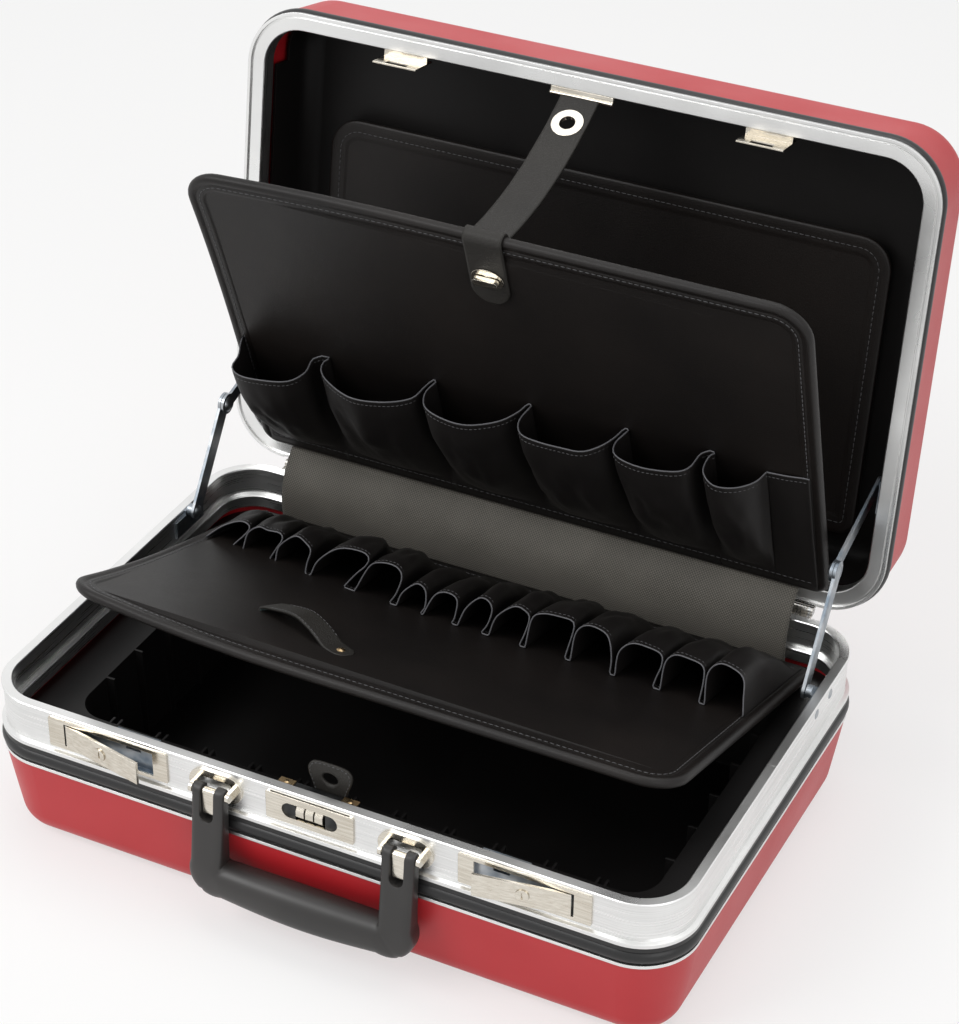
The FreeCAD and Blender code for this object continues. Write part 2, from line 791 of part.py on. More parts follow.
def lock_plate(side):
    plate = rounded_plate(lock_plate_length, lock_plate_height, side * lock_plate_middle_x, middle_z,
                          plate_face_y, band_y, plate_corner_r)
    window = box(side * lock_window_middle_x - lock_window_length / 2,
                 side * lock_window_middle_x + lock_window_length / 2,
                 plate_face_y - cut_overrun, band_y + cut_overrun,
                 middle_z - lock_window_height / 2, middle_z + lock_window_height / 2)
    return plate.cut(window)


def lock_housing(side):
    """Zinc block behind the lever, with a thick end that carries the bolt, and the four walls round the recess."""
    x = side * lock_window_middle_x
    x_low, x_high = x - housing_length / 2, x + housing_length / 2
    z_low, z_high = middle_z - housing_height / 2, middle_z + housing_height / 2
    half, tall = lock_window_length / 2, lock_window_height / 2
    floor_y = band_y + housing_recess_depth
    block = box(x_low, x_high, floor_y, -opening_half_y, z_low, z_high)
    inner_face = -opening_half_y + housing_inner_reach
    end = box(side * catch_middle_x - housing_end_length / 2, side * catch_middle_x + housing_end_length / 2,
              -opening_half_y - cut_overrun, inner_face, z_low, z_high)
    slot = box(side * catch_middle_x - bolt_width / 2 - bolt_gap, side * catch_middle_x + bolt_width / 2 + bolt_gap,
               band_y + cut_overrun, inner_face + cut_overrun,
               -bolt_drop - bolt_height / 2 - bolt_gap, -bolt_drop + bolt_height / 2 + bolt_gap)
    back = joined([block, end]).cut(slot)
    walls = [box(x_low, x_high, band_y, floor_y, z_low, middle_z - tall),
             box(x_low, x_high, band_y, floor_y, middle_z + tall, z_high),
             box(x_low, x - half, band_y, floor_y, middle_z - tall, middle_z + tall),
             box(x + half, x_high, band_y, floor_y, middle_z - tall, middle_z + tall)]
    return Part.makeCompound([back] + [wall.cut(lever_pin(side)) for wall in walls])


def lever_pivot(side):
    return Vector(side * lever_pivot_x, band_y + lever_proud + lever_knuckle_r / 4, middle_z)


def lever_pin(side):
    centre = lever_pivot(side)
    half = housing_height / 2
    return rod(lever_pin_r, centre - Vector(0, 0, half), centre + Vector(0, 0, half))


def turned_open(shape, side, rest_angle):
    turned = shape.copy()
    turned.rotate(lever_pivot(side), Vector(0, 0, 1), side * rest_angle)
    return turned


def key_centre(side):
    return Vector(side * (lever_pivot_x - key_from_pivot), 0, middle_z)


def key_bore(side, r):
    centre = key_centre(side)
    front = band_y - lever_proud - lever_thickness
    return rod(r, Vector(centre.x, front - cut_overrun, centre.z), Vector(centre.x, band_y + cut_overrun, centre.z))


def latch_lever(side):
    centre = lever_pivot(side)
    near = side * (lever_pivot_x + lever_end_reach)
    far = side * (lever_pivot_x - lever_length + lever_end_reach)
    back = band_y - lever_proud + plate_thickness / 2
    plate = box(min(near, far), max(near, far), back - lever_thickness, back,
                middle_z - lever_height / 2, middle_z + lever_height / 2)
    half = Vector(0, 0, lever_height / 2)
    knuckle = rod(lever_knuckle_r, centre - half, centre + half)
    lever = joined([plate, knuckle]).cut(rod(lever_pin_r + running_gap, centre - half * 2, centre + half * 2))
    return lever.cut(key_bore(side, key_cylinder_r + running_gap))


def key_cylinder(side):
    centre = key_centre(side)
    back = band_y - lever_proud + plate_thickness / 2
    front = back - lever_thickness - key_cylinder_proud
    body = rod(key_cylinder_r, Vector(centre.x, front, centre.z),
               Vector(centre.x, back + key_cylinder_depth, centre.z))
    slot = box(centre.x - key_slot_width / 2, centre.x + key_slot_width / 2, front - cut_overrun,
               front + key_slot_depth, centre.z - key_slot_height / 2, centre.z + key_slot_height / 2)
    return body.cut(slot)


def lock_bolt(side, rest_angle):
    tip = -opening_half_y + bolt_closed_reach - rest_angle * bolt_travel_per_degree
    x = side * catch_middle_x
    return box(x - bolt_width / 2, x + bolt_width / 2, tip - bolt_length, tip,
               -bolt_drop - bolt_height / 2, -bolt_drop + bolt_height / 2)


# Combination lock

def combination_plate():
    plate = rounded_plate(combination_plate_length, combination_plate_height, 0, middle_z,
                          plate_face_y, band_y, plate_corner_r)
    return plate.cut(stadium_plate(combination_window_length, combination_window_height, 0, middle_z,
                                   plate_face_y - cut_overrun, band_y + cut_overrun))


def dial_centre_y():
    return plate_face_y - dial_proud + dial_r


def combination_housing():
    back = band_y + combination_housing_depth
    block = box(-combination_housing_half, combination_housing_half, band_y, back,
                middle_z - combination_housing_height / 2, middle_z + combination_housing_height / 2)
    half = dial_count * dial_pitch / 2 + dial_room
    tall = dial_r + dial_room
    room = box(-half, half, band_y - cut_overrun, back - combination_housing_wall, middle_z - tall, middle_z + tall)
    return block.cut(room).cut(dial_axle())


def dial_axle():
    return rod(dial_axle_r, Vector(-dial_axle_half, dial_centre_y(), middle_z),
               Vector(dial_axle_half, dial_centre_y(), middle_z))


def dial(index):
    x = evenly(dial_count, dial_pitch)[index]
    corners = []
    for step in range(dial_sides):
        angle = 2 * math.pi * (step + 0.5) / dial_sides
        corners.append((dial_centre_y() + dial_r * math.cos(angle), middle_z + dial_r * math.sin(angle)))
    wheel = side_prism(corners, x - dial_thickness / 2, x + dial_thickness / 2)
    return wheel.cut(rod(dial_axle_r + running_gap, Vector(x - dial_thickness, dial_centre_y(), middle_z),
                         Vector(x + dial_thickness, dial_centre_y(), middle_z)))


# Handle

def handle_pin_centre(side):
    return Vector(side * handle_side_x, band_y - handle_pin_reach, middle_z)


def handle_plates():
    plates = []
    for side in (-1, 1):
        centre = handle_pin_centre(side)
        face = band_y - handle_plate_thickness
        plate = stadium_plate(handle_plate_length, handle_plate_height, centre.x, middle_z, face, band_y)
        plate = plate.cut(stadium_plate(handle_plate_window_length, handle_plate_window_height, centre.x, middle_z,
                                        face - cut_overrun, band_y + cut_overrun))
        posts = []
        for end in (-1, 1):
            near = centre.x + end * (handle_arm_width / 2 + 2 * rest_gap)
            far = near + end * handle_post_width
            low, high = min(near, far), max(near, far)
            posts.append(box(low, high, centre.y, face, middle_z - handle_post_r, middle_z + handle_post_r))
            posts.append(rod(handle_post_r, Vector(low, centre.y, middle_z), Vector(high, centre.y, middle_z)))
        plates.append(joined([plate] + posts).cut(handle_pin(side)))
    return Part.makeCompound(plates)


def handle_pin(side):
    centre = handle_pin_centre(side)
    half = Vector(handle_arm_width / 2 + 2 * rest_gap + handle_post_width, 0, 0)
    return rod(handle_pin_r, centre - half, centre + half)


def handle_arm(side):
    """One arm, leaning a little away from the case, round over the pin and forked for the clip."""
    centre = handle_pin_centre(side)
    foot = centre + Vector(0, -handle_arm_lean, -handle_drop)
    low, high = centre.x - handle_arm_width / 2, centre.x + handle_arm_width / 2
    half = handle_arm_thickness / 2
    shank = side_prism([(centre.y - handle_arm_top_r, centre.z), (foot.y - half, foot.z), (foot.y + half, foot.z),
                        (centre.y + handle_arm_top_r, centre.z)], low, high)
    head = rod(handle_arm_top_r, Vector(low, centre.y, centre.z), Vector(high, centre.y, centre.z))
    fork = box(centre.x - handle_fork_width / 2, centre.x + handle_fork_width / 2,
               centre.y - handle_grip_depth, centre.y + handle_grip_depth,
               centre.z - handle_fork_depth + handle_fork_width / 2, centre.z + handle_fork_width)
    fork_round = rod(handle_fork_width / 2,
                     Vector(centre.x, centre.y - handle_grip_depth,
                            centre.z - handle_fork_depth + handle_fork_width / 2),
                     Vector(centre.x, centre.y + handle_grip_depth,
                            centre.z - handle_fork_depth + handle_fork_width / 2))
    arm = joined([shank, head])
    bore = rod(handle_pin_r + running_gap, Vector(low - cut_overrun, centre.y, centre.z),
               Vector(high + cut_overrun, centre.y, centre.z))
    return arm.cut(fork).cut(fork_round).cut(bore)


def ellipse_wire(x, y, z, height, depth):
    if height >= depth:
        curve = Part.Ellipse(Vector(x, y, z + height / 2), Vector(x, y + depth / 2, z), Vector(x, y, z))
    else:
        curve = Part.Ellipse(Vector(x, y + depth / 2, z), Vector(x, y, z + height / 2), Vector(x, y, z))
    return Part.Wire([curve.toShape()])


def carry_handle():
    """Two arms and a thick oval grip whose ends draw in and turn up into the arms."""
    centre = handle_pin_centre(1)
    grip_y = centre.y - handle_arm_lean
    grip_z = centre.z - handle_drop
    end_height = handle_grip_height * handle_grip_end_share
    end_depth = handle_grip_depth * handle_grip_end_share
    inner = handle_side_x - handle_arm_width / 2
    outer = handle_side_x + handle_arm_width / 2
    stations = [(-outer, handle_arm_width, handle_arm_thickness), (-inner, end_height, end_depth),
                (-inner / 2, handle_grip_height, handle_grip_depth), (inner / 2, handle_grip_height, handle_grip_depth),
                (inner, end_height, end_depth), (outer, handle_arm_width, handle_arm_thickness)]
    grip = Part.makeLoft([ellipse_wire(x, grip_y, grip_z, tall, deep) for x, tall, deep in stations], True, False)
    return joined([handle_arm(-1), handle_arm(1), grip])


def handle_clips():
    """Sprung steel clips round the pins, standing in the forks of the arms."""
    clips = []
    for side in (-1, 1):
        centre = handle_pin_centre(side)
        low, high = centre.x - handle_clip_width / 2, centre.x + handle_clip_width / 2
        inner = handle_pin_r + running_gap
        outer = inner + handle_clip_thickness
        foot = centre.z - handle_clip_height
        ring = rod(outer, Vector(low, centre.y, centre.z), Vector(high, centre.y, centre.z))
        legs = box(low, high, centre.y - outer, centre.y + outer, foot, centre.z)
        slot = box(low - cut_overrun, high + cut_overrun, centre.y - inner, centre.y + inner,
                   foot + handle_clip_thickness, centre.z)
        bore = rod(inner, Vector(low - cut_overrun, centre.y, centre.z), Vector(high + cut_overrun, centre.y, centre.z))
        clips.append(joined([ring, legs]).cut(slot).cut(bore))
    return Part.makeCompound(clips)


# Stays

def stay_points():
    """Foot, knee and lid end of a stay as it stands open, in the plane of y and z."""
    foot = Vector(0, hinge_y - stay_foot_from_hinge, -stay_foot_drop)
    lower, upper = math.radians(stay_lower_rest_angle), math.radians(stay_upper_rest_angle)
    knee = foot + Vector(0, math.cos(lower), math.sin(lower)) * stay_lower_length
    end = knee + Vector(0, math.cos(upper), math.sin(upper)) * stay_upper_length
    return foot, knee, end


def stay_bar(start, end, width, start_r, end_r, x_low, x_high):
    """Flat bar with round ends between two points."""
    along = (end - start).normalize()
    across = Vector(0, -along.z, along.y) * (width / 2)
    corners = [start + across, end + across, end - across, start - across]
    pieces = [side_prism([(p.y, p.z) for p in corners], x_low, x_high)]
    for centre, r in ((start, start_r), (end, end_r)):
        pieces.append(rod(r, Vector(x_low, centre.y, centre.z), Vector(x_high, centre.y, centre.z)))
    return joined(pieces)


def stay_hole(centre, r):
    reach = stay_arm_thickness * 4
    return rod(r, Vector(stay_middle_x - reach, centre.y, centre.z), Vector(stay_middle_x + reach, centre.y, centre.z))


def lower_stay_arm():
    foot, knee, end = stay_points()
    low = stay_middle_x + stay_arm_gap / 2
    bar = stay_bar(foot, knee, stay_arm_width, stay_arm_width / 2, stay_knee_r, low, low + stay_arm_thickness)
    return bar.cut(stay_hole(foot, stay_foot_rivet_r + running_gap)).cut(stay_hole(knee, stay_rivet_r))


def upper_stay_arm():
    foot, knee, end = stay_points()
    high = stay_middle_x - stay_arm_gap / 2
    bar = stay_bar(knee, end, stay_upper_width, stay_knee_r, stay_upper_width / 2, high - stay_arm_thickness, high)
    return bar.cut(stay_hole(knee, stay_rivet_r + running_gap)).cut(stay_hole(end, stay_foot_rivet_r))


def knee_rivet():
    foot, knee, end = stay_points()
    inner = stay_middle_x - stay_arm_gap / 2 - stay_arm_thickness - stay_arm_gap
    outer = stay_middle_x + stay_arm_gap / 2 + stay_arm_thickness
    shank = rod(stay_rivet_r, Vector(inner, knee.y, knee.z), Vector(outer, knee.y, knee.z))
    head = dome(stay_rivet_head_r, stay_rivet_head_height, Vector(inner, knee.y, knee.z), Vector(-1, 0, 0))
    tail = dome(stay_foot_head_r, rivet_head_height, Vector(outer, knee.y, knee.z), Vector(1, 0, 0))
    return joined([shank, head, tail])


def lid_bracket_inner_x():
    return opening_half_x + lid_start_offset - stay_bracket_thickness


def stay_end_rivet():
    """Rivet at the arm's lid end: it stops short of the lid's bracket, which it only faces."""
    foot, knee, end = stay_points()
    inner = stay_middle_x - stay_arm_gap / 2 - stay_arm_thickness
    outer = lid_bracket_inner_x() - stay_open_gap
    shank = rod(stay_foot_rivet_r, Vector(inner, end.y, end.z), Vector(outer, end.y, end.z))
    head = dome(stay_foot_head_r, rivet_head_height, Vector(inner, end.y, end.z), Vector(-1, 0, 0))
    return joined([shank, head])


def base_stay_bracket():
    """Plate on the band's inner face with a stud that the lower arm turns on."""
    foot, knee, end = stay_points()
    wall = opening_half_x
    plate = box(wall - stay_bracket_thickness, wall, foot.y - stay_bracket_length / 2,
                foot.y + stay_bracket_length / 2, foot.z - stay_bracket_height, foot.z - stay_bracket_boss_r / 2)
    ear = rod(stay_bracket_boss_r, Vector(wall - stay_bracket_thickness, foot.y, foot.z), Vector(wall, foot.y, foot.z))
    ear = joined([ear, box(wall - stay_bracket_thickness, wall, foot.y - stay_bracket_boss_r,
                           foot.y + stay_bracket_boss_r, foot.z - stay_bracket_height / 2, foot.z)])
    below_rim = box(wall - stay_bracket_boss_r, wall + cut_overrun, foot.y - stay_bracket_length,
                    foot.y + stay_bracket_length, -rest_gap, stay_bracket_height)
    arm_inner = stay_middle_x + stay_arm_gap / 2
    spacer_end = arm_inner + stay_arm_thickness + stay_arm_gap
    spacer = rod(stay_foot_head_r, Vector(spacer_end, foot.y, foot.z),
                 Vector(wall - stay_bracket_thickness, foot.y, foot.z))
    stud = rod(stay_foot_rivet_r, Vector(arm_inner - stay_arm_gap, foot.y, foot.z),
               Vector(spacer_end + cut_overrun, foot.y, foot.z))
    head = dome(stay_foot_head_r, rivet_head_height * 2, Vector(arm_inner - stay_arm_gap, foot.y, foot.z),
                Vector(-1, 0, 0))
    return joined([joined([plate, ear]).cut(below_rim), spacer, stud, head])


def stay_rivets():
    """Rivet heads on the outside of the band, over the two brackets."""
    foot, knee, end = stay_points()
    face = opening_half_x + band_offset
    z = foot.z - stay_bracket_height / 2 + stay_foot_drop / 2
    heads = []
    for step in (-1, 1):
        y = foot.y + step * (stay_bracket_length / 2 - rivet_head_r * 1.5)
        heads.append(dome(rivet_head_r, rivet_head_height, Vector(face, y, z), Vector(1, 0, 0)))
    return heads + [mirrored(head) for head in heads]


def closed_lid_end():
    """The stay's lid end in the lid's own shut frame."""
    foot, knee, end = stay_points()
    point = Part.Vertex(end)
    point.rotate(Vector(0, hinge_y, hinge_z), Vector(1, 0, 0), lid_open_angle)
    return point.Point


def lid_stay_bracket():
    """Plate on the lid frame's inner face that rises beside the lid end of the stay."""
    end = closed_lid_end()
    wall = opening_half_x + lid_start_offset
    return box(lid_bracket_inner_x(), wall, end.y - stay_lid_bracket_half, end.y + stay_lid_bracket_half,
               stay_lid_bracket_foot, end.z + stay_lid_bracket_top)


# Boards, pockets and fabric

def board_plate(length, hinge_gap):
    """Stiff board with a rolled edge, drawn flat with its hinge line at y = 0."""
    half = board_thickness / 2
    roll = board_block(length, hinge_gap, 0, board_edge_r)
    edges = [edge for edge in roll.Edges if abs(abs(edge.BoundBox.ZMin) - board_edge_r) < rest_gap
             and abs(edge.BoundBox.ZMin - edge.BoundBox.ZMax) < rest_gap]
    roll = roll.makeFillet(board_edge_r * board_edge_round_share, edges)
    room = board_block(length, hinge_gap, 2 * board_edge_r, board_edge_r + cut_overrun)
    panel = board_block(length, hinge_gap, board_edge_r, half)
    return joined([panel, roll.cut(room)])


def board_block(length, hinge_gap, inset, half):
    """The board's outline drawn in on all sides, as a block that reaches as far above as below."""
    block = flat_board(board_half_x - inset, length - hinge_gap - 2 * inset, board_corner_r - inset,
                       board_back_corner_r - inset, -half, half)
    block.translate(Vector(0, -hinge_gap - inset, 0))
    return block


def pocket_outline(x_low, x_high, side, crown, y):
    """Arched outline on a board's face at one distance from the hinge: straight sides under one arc."""
    low_left, low_right = Vector(x_low, y, 0), Vector(x_high, y, 0)
    left, right = Vector(x_low, y, side), Vector(x_high, y, side)
    top = Vector((x_low + x_high) / 2, y, side + crown)
    return Part.Wire([Part.LineSegment(low_left, left).toShape(), Part.Arc(left, top, right).toShape(),
                      Part.LineSegment(right, low_right).toShape(), Part.LineSegment(low_right, low_left).toShape()])


def pocket_swell(x_low, x_high, start, end, side, crown):
    """Block that swells from a low foot to a pocket's mouth."""
    foot = pocket_outline(x_low, x_high, pocket_foot_rise, pocket_foot_rise, -start)
    mouth = pocket_outline(x_low, x_high, side, crown, -end)
    return Part.makeLoft([foot, mouth], True, True)


def pocket_row(seams_share, start, end, side, crown):
    """Row of open pockets on a backing sheet that lies on the board, drawn with the sheet's foot at z = 0."""
    wall = pocket_fabric
    backing = box(-pocket_half_x, pocket_half_x, -end, -start, 0, wall)
    seams = [share * pocket_half_x for share in seams_share]
    outer, rooms = [backing], []
    for left, right in zip(seams, seams[1:]):
        x_low, x_high = left + pocket_seam_half, right - pocket_seam_half
        outer.append(pocket_swell(x_low, x_high, start, end, side, crown))
        room = pocket_swell(x_low + wall, x_high - wall, start, end, side, crown)
        room.translate(Vector(0, 0, -wall))
        mouth = box(x_low, x_high, -end - cut_overrun, -end, -crown, side + crown)
        rooms.append(room.cut(joined([backing, mouth])))
    row = joined(outer)
    for room in rooms:
        row = row.cut(room)
    return row


def upper_board_pockets():
    row = pocket_row(upper_pocket_seams_share, upper_pocket_start, upper_pocket_end, upper_pocket_side,
                     upper_pocket_crown)
    row = row.mirror(Vector(0, 0, 0), Vector(0, 0, 1))
    row.translate(Vector(0, 0, -board_thickness / 2))
    return row


def lower_board_pockets():
    row = pocket_row(lower_pocket_seams_share, lower_pocket_start, lower_pocket_end, lower_pocket_side,
                     lower_pocket_crown)
    row.translate(Vector(0, 0, board_thickness / 2))
    return row


def upper_board_rivets():
    y = -(upper_board_hinge_gap + board_edge_r + board_rivet_line)
    heads = []
    for share in board_rivet_places_share:
        x = share * board_half_x
        heads.append(rod(board_rivet_r, Vector(x, y, -board_thickness / 2),
                         Vector(x, y, -board_thickness / 2 - board_rivet_height)))
    return Part.makeCompound(heads)


def on_finger_strap_line(shape):
    """A shape drawn from the rivet along -Y, with the board's face at z = 0, laid along the finger strap."""
    placed = shape.copy()
    placed.rotate(Vector(0, 0, 0), Vector(0, 0, 1), finger_strap_turn)
    placed.translate(Vector(finger_rivet_x, -finger_rivet_from_hinge, board_thickness / 2))
    return placed


def finger_strap():
    """Leather strip folded back on itself: one layer lies on the board, the other arches over it, and one rivet
    holds both ends."""
    layer, loop = finger_strap_thickness, finger_strap_loop_r
    low, top = layer / 2, layer / 2 + 2 * loop
    reach = finger_strap_length - loop
    end = finger_strap_end
    runs = [(Vector(0, end, low), Vector(0, -reach, low)),
            (Vector(0, -reach, low), Vector(0, -finger_strap_length, low + loop), Vector(0, -reach, top)),
            (Vector(0, -reach, top), Vector(0, -finger_strap_length / 2, finger_strap_rise - low),
             Vector(0, -end, low + layer)),
            (Vector(0, -end, low + layer), Vector(0, end, low + layer))]
    pieces = ribbon(runs, finger_strap_width, layer)
    for height in (top, low + layer):
        y = -reach if height == top else -end
        pieces.append(rod(layer / 2, Vector(-finger_strap_width / 2, y, height),
                          Vector(finger_strap_width / 2, y, height)))
    return on_finger_strap_line(joined(pieces))


def finger_strap_rivet():
    return on_finger_strap_line(dome(finger_rivet_r, finger_rivet_height, Vector(0, 0, 2 * finger_strap_thickness),
                                     Vector(0, 0, 1)))


def fabric_spine():
    """Woven strip from the lower board's back edge to the upper board's foot, bulging forward."""
    low = Vector(0, lower_hinge_y, lower_hinge_z)
    high = Part.Vertex(Vector(0, upper_hinge_y, upper_hinge_z))
    high.rotate(Vector(0, hinge_y, hinge_z), Vector(1, 0, 0), -lid_open_angle)
    high = high.Point
    along = (high - low).normalize()
    start, end = low + along * spine_end_gap, high - along * spine_end_gap
    forward = Vector(0, -along.z, along.y)
    middle = (start + end) * 0.5 + forward * spine_bulge
    thick = forward * spine_thickness
    front = Part.Arc(start + thick, middle + thick, end + thick).toShape()
    back = Part.Arc(end, middle, start).toShape()
    ends = [Part.LineSegment(end + thick, end).toShape(), Part.LineSegment(start, start + thick).toShape()]
    strip = Part.Face(Part.Wire([front, ends[0], back, ends[1]])).extrude(Vector(2 * spine_half_x, 0, 0))
    strip.translate(Vector(-spine_half_x, 0, 0))
    return strip


# Strap, its bracket and turn lock

def opened(point):
    turned = Part.Vertex(point)
    turned.rotate(Vector(0, hinge_y, hinge_z), Vector(1, 0, 0), -lid_open_angle)
    return turned.Point


def board_point(distance, height):
    """A place on the open upper board: distance from its hinge line, height off its middle plane."""
    point = Part.Vertex(Vector(0, upper_hinge_y - distance, upper_hinge_z + height))
    point.rotate(Vector(0, upper_hinge_y, upper_hinge_z), Vector(1, 0, 0), upper_board_rest_angle)
    return opened(point.Point)


def strap_start():
    bracket_y = -(opening_half_y + lid_start_offset) + strap_bracket_reach
    return opened(Vector(0, bracket_y, -strap_start_gap))


def strap_route():
    """Middle line of the strap: from the bracket in a slack curve, over the board's edge and down its face."""
    clear = strap_thickness / 2 + rest_gap
    start = strap_start()
    over_back = board_point(upper_board_length - strap_edge_r, board_edge_r + clear)
    over_top = board_point(upper_board_length + clear, 0)
    over_front = board_point(upper_board_length - strap_edge_r, -board_edge_r - clear)
    low_front = board_point(upper_board_length - 2 * strap_edge_r - board_edge_r,
                            -board_thickness / 2 - clear - lock_base_thickness)
    tail = board_point(upper_board_length - strap_tail, -board_thickness / 2 - clear - lock_base_thickness)
    return start, over_back, over_top, over_front, low_front, tail


def ribbon(runs, width, thickness):
    """Flat strip across X that follows runs of (start, end) lines and (start, through, end) arcs."""
    pieces = []
    for run in runs:
        if len(run) == 3:
            centre = Part.Arc(*run).toShape().Curve.Center
            radial = [(point - centre).normalize() * (thickness / 2) for point in run]
            outer = [point + step for point, step in zip(run, radial)]
            inner = [point - step for point, step in zip(run, radial)]
            face = Part.Face(Part.Wire([Part.Arc(*outer).toShape(), Part.LineSegment(outer[2], inner[2]).toShape(),
                                        Part.Arc(inner[2], inner[1], inner[0]).toShape(),
                                        Part.LineSegment(inner[0], outer[0]).toShape()]))
        else:
            start, end = run
            along = (end - start).normalize()
            side = Vector(0, -along.z, along.y) * (thickness / 2)
            face = Part.Face(polygon([(p.y, p.z) for p in (start + side, end + side, end - side, start - side)]))
        strip = face.extrude(Vector(width, 0, 0))
        strip.translate(Vector(-width / 2, 0, 0))
        pieces.append(strip)
    return pieces


def strap():
    start, over_back, over_top, over_front, low_front, tail = strap_route()
    sag = (start + over_back) * 0.5 - Vector(0, 0, strap_sag)
    runs = [(start, sag, over_back), (over_back, over_top, over_front), (over_front, low_front), (low_front, tail)]
    pieces = ribbon(runs, strap_width, strap_thickness)
    for joint in (over_back, over_front, low_front):
        pieces.append(rod(strap_thickness / 2, Vector(-strap_width / 2, joint.y, joint.z),
                          Vector(strap_width / 2, joint.y, joint.z)))
    return joined(pieces).cut(lock_post_room())


def lock_post_room():
    top = board_point(upper_board_length - lock_from_top, -board_thickness)
    far = board_point(upper_board_length - lock_from_top, -board_thickness - strap_width)
    return rod(lock_hole_r, top + (top - far).normalize() * board_thickness, far)


def strap_eyelet():
    """Metal ring near the strap's upper end."""
    start, over_back = strap_route()[0:2]
    sag = (start + over_back) * 0.5 - Vector(0, 0, strap_sag)
    arc = Part.Arc(start, sag, over_back)
    where = arc.parameterAtDistance(strap_eyelet_from_start)
    centre, tangent = arc.value(where), Vector(*arc.tangent(where)[0])
    normal = Vector(0, -tangent.z, tangent.y)
    half = normal * (strap_thickness / 2 + strap_eyelet_proud)
    ring = rod(strap_eyelet_r, centre - half, centre + half)
    return ring.cut(rod(strap_eyelet_hole_r, centre - half * 2, centre + half * 2)), \
        rod(strap_eyelet_r, centre - half * 2, centre + half * 2)


def strap_bracket():
    """Nickel bracket on the lid frame's front wall, with the wire that carries the strap."""
    wall = -(opening_half_y + lid_start_offset)
    half = strap_bracket_length / 2
    plate = box(-half, half, wall, wall + strap_bracket_wall, rim_edge_r, strap_bracket_height)
    shelf = box(-half, half, wall, wall + strap_bracket_reach + strap_bracket_wall, rim_edge_r,
                rim_edge_r + strap_bracket_wall)
    wire = rod(strap_wire_r, Vector(-half, wall + strap_bracket_reach, rim_edge_r),
               Vector(half, wall + strap_bracket_reach, rim_edge_r))
    return joined([plate, shelf, wire])


def board_stud(distance, low, high, r):
    """Round piece that stands on the upper board's front face between two heights."""
    return rod(r, Vector(0, -distance, -low), Vector(0, -distance, -high))


def turn_lock_base():
    distance = upper_board_length - lock_from_top
    face = board_thickness / 2
    strap_top = face + lock_base_thickness + 2 * rest_gap + strap_thickness
    disc = board_stud(distance, face, face + lock_base_thickness, lock_base_r)
    post = board_stud(distance, face, strap_top + lock_washer_thickness + rest_gap, lock_post_r)
    washer = board_stud(distance, strap_top, strap_top + lock_washer_thickness, lock_washer_half_height)
    stretch = FreeCAD.Matrix()
    stretch.scale(lock_washer_half_length / lock_washer_half_height, 1, 1)
    washer = washer.transformGeometry(stretch)
    return joined([disc, post, washer]).cut(lock_spindle(lock_spindle_r + running_gap, rest_gap))


def lock_knob_foot():
    stack = lock_base_thickness + strap_thickness + lock_washer_thickness
    return board_thickness / 2 + stack + 4 * rest_gap


def lock_spindle(r, play):
    foot = lock_knob_foot()
    return board_stud(upper_board_length - lock_from_top, foot - lock_spindle_length - play, foot, r)


def turn_lock_knob():
    distance = upper_board_length - lock_from_top
    low = lock_knob_foot()
    knob = box(-lock_knob_length / 2, lock_knob_length / 2, -distance - lock_knob_width / 2,
               -distance + lock_knob_width / 2, -low - lock_knob_height, -low)
    ends = [edge for edge in knob.Edges if abs(edge.tangentAt(edge.FirstParameter).z) > parallel_share]
    return joined([knob.makeFillet(lock_knob_width * lock_knob_round_share, ends), lock_spindle(lock_spindle_r, 0)])


# Lid lining, document pocket, catches

def lid_lining():
    far = lid_height - shell_wall - lining_gap
    outer = drafted_body(lining_offset, lining_start, lining_draft, far, lining_edge_r)
    inner = drafted_body(lining_offset - lining_wall, lining_start - cut_overrun,
                         lining_draft, far - lining_wall, lining_edge_r - lining_wall)
    lining = outer.cut(inner)
    corner_x, corner_y = opening_half_x + lid_outer_offset, opening_half_y + lid_outer_offset
    end = closed_lid_end()
    for side in (-1, 1):
        near, far_x = side * (corner_x - lining_corner_notch), side * corner_x
        lining = lining.cut(box(min(near, far_x), max(near, far_x), -corner_y, -corner_y + lining_corner_notch,
                                lining_start - cut_overrun, lining_start + lining_notch_depth))
        near = side * (corner_x - lining_corner_notch)
        lining = lining.cut(box(min(near, far_x), max(near, far_x), end.y - lining_stay_notch_half,
                                end.y + lining_stay_notch_half, lining_start - cut_overrun,
                                lining_start + lining_stay_notch_depth))
    return lining


def document_panel():
    length = panel_top_y + panel_foot_y
    panel = flat_board(panel_half_x, length, panel_corner_r, panel_corner_r / 2, panel_height,
                       panel_height + panel_thickness)
    panel.translate(Vector(0, panel_foot_y, 0))
    return panel


def panel_gusset():
    """Folded fabric walls that join the document panel to the lining behind it."""
    low = panel_height + panel_thickness
    high = lid_height - shell_wall - lining_gap - lining_wall
    outer_x = panel_half_x - gusset_inset
    walls = [box(side * (outer_x - gusset_width / 2) - gusset_width / 2,
                 side * (outer_x - gusset_width / 2) + gusset_width / 2,
                 gusset_top_y - panel_top_y, panel_foot_y - gusset_inset, low, high) for side in (-1, 1)]
    foot = box(-outer_x, outer_x, panel_foot_y - gusset_inset - gusset_width, panel_foot_y - gusset_inset, low, high)
    return joined(walls + [foot])


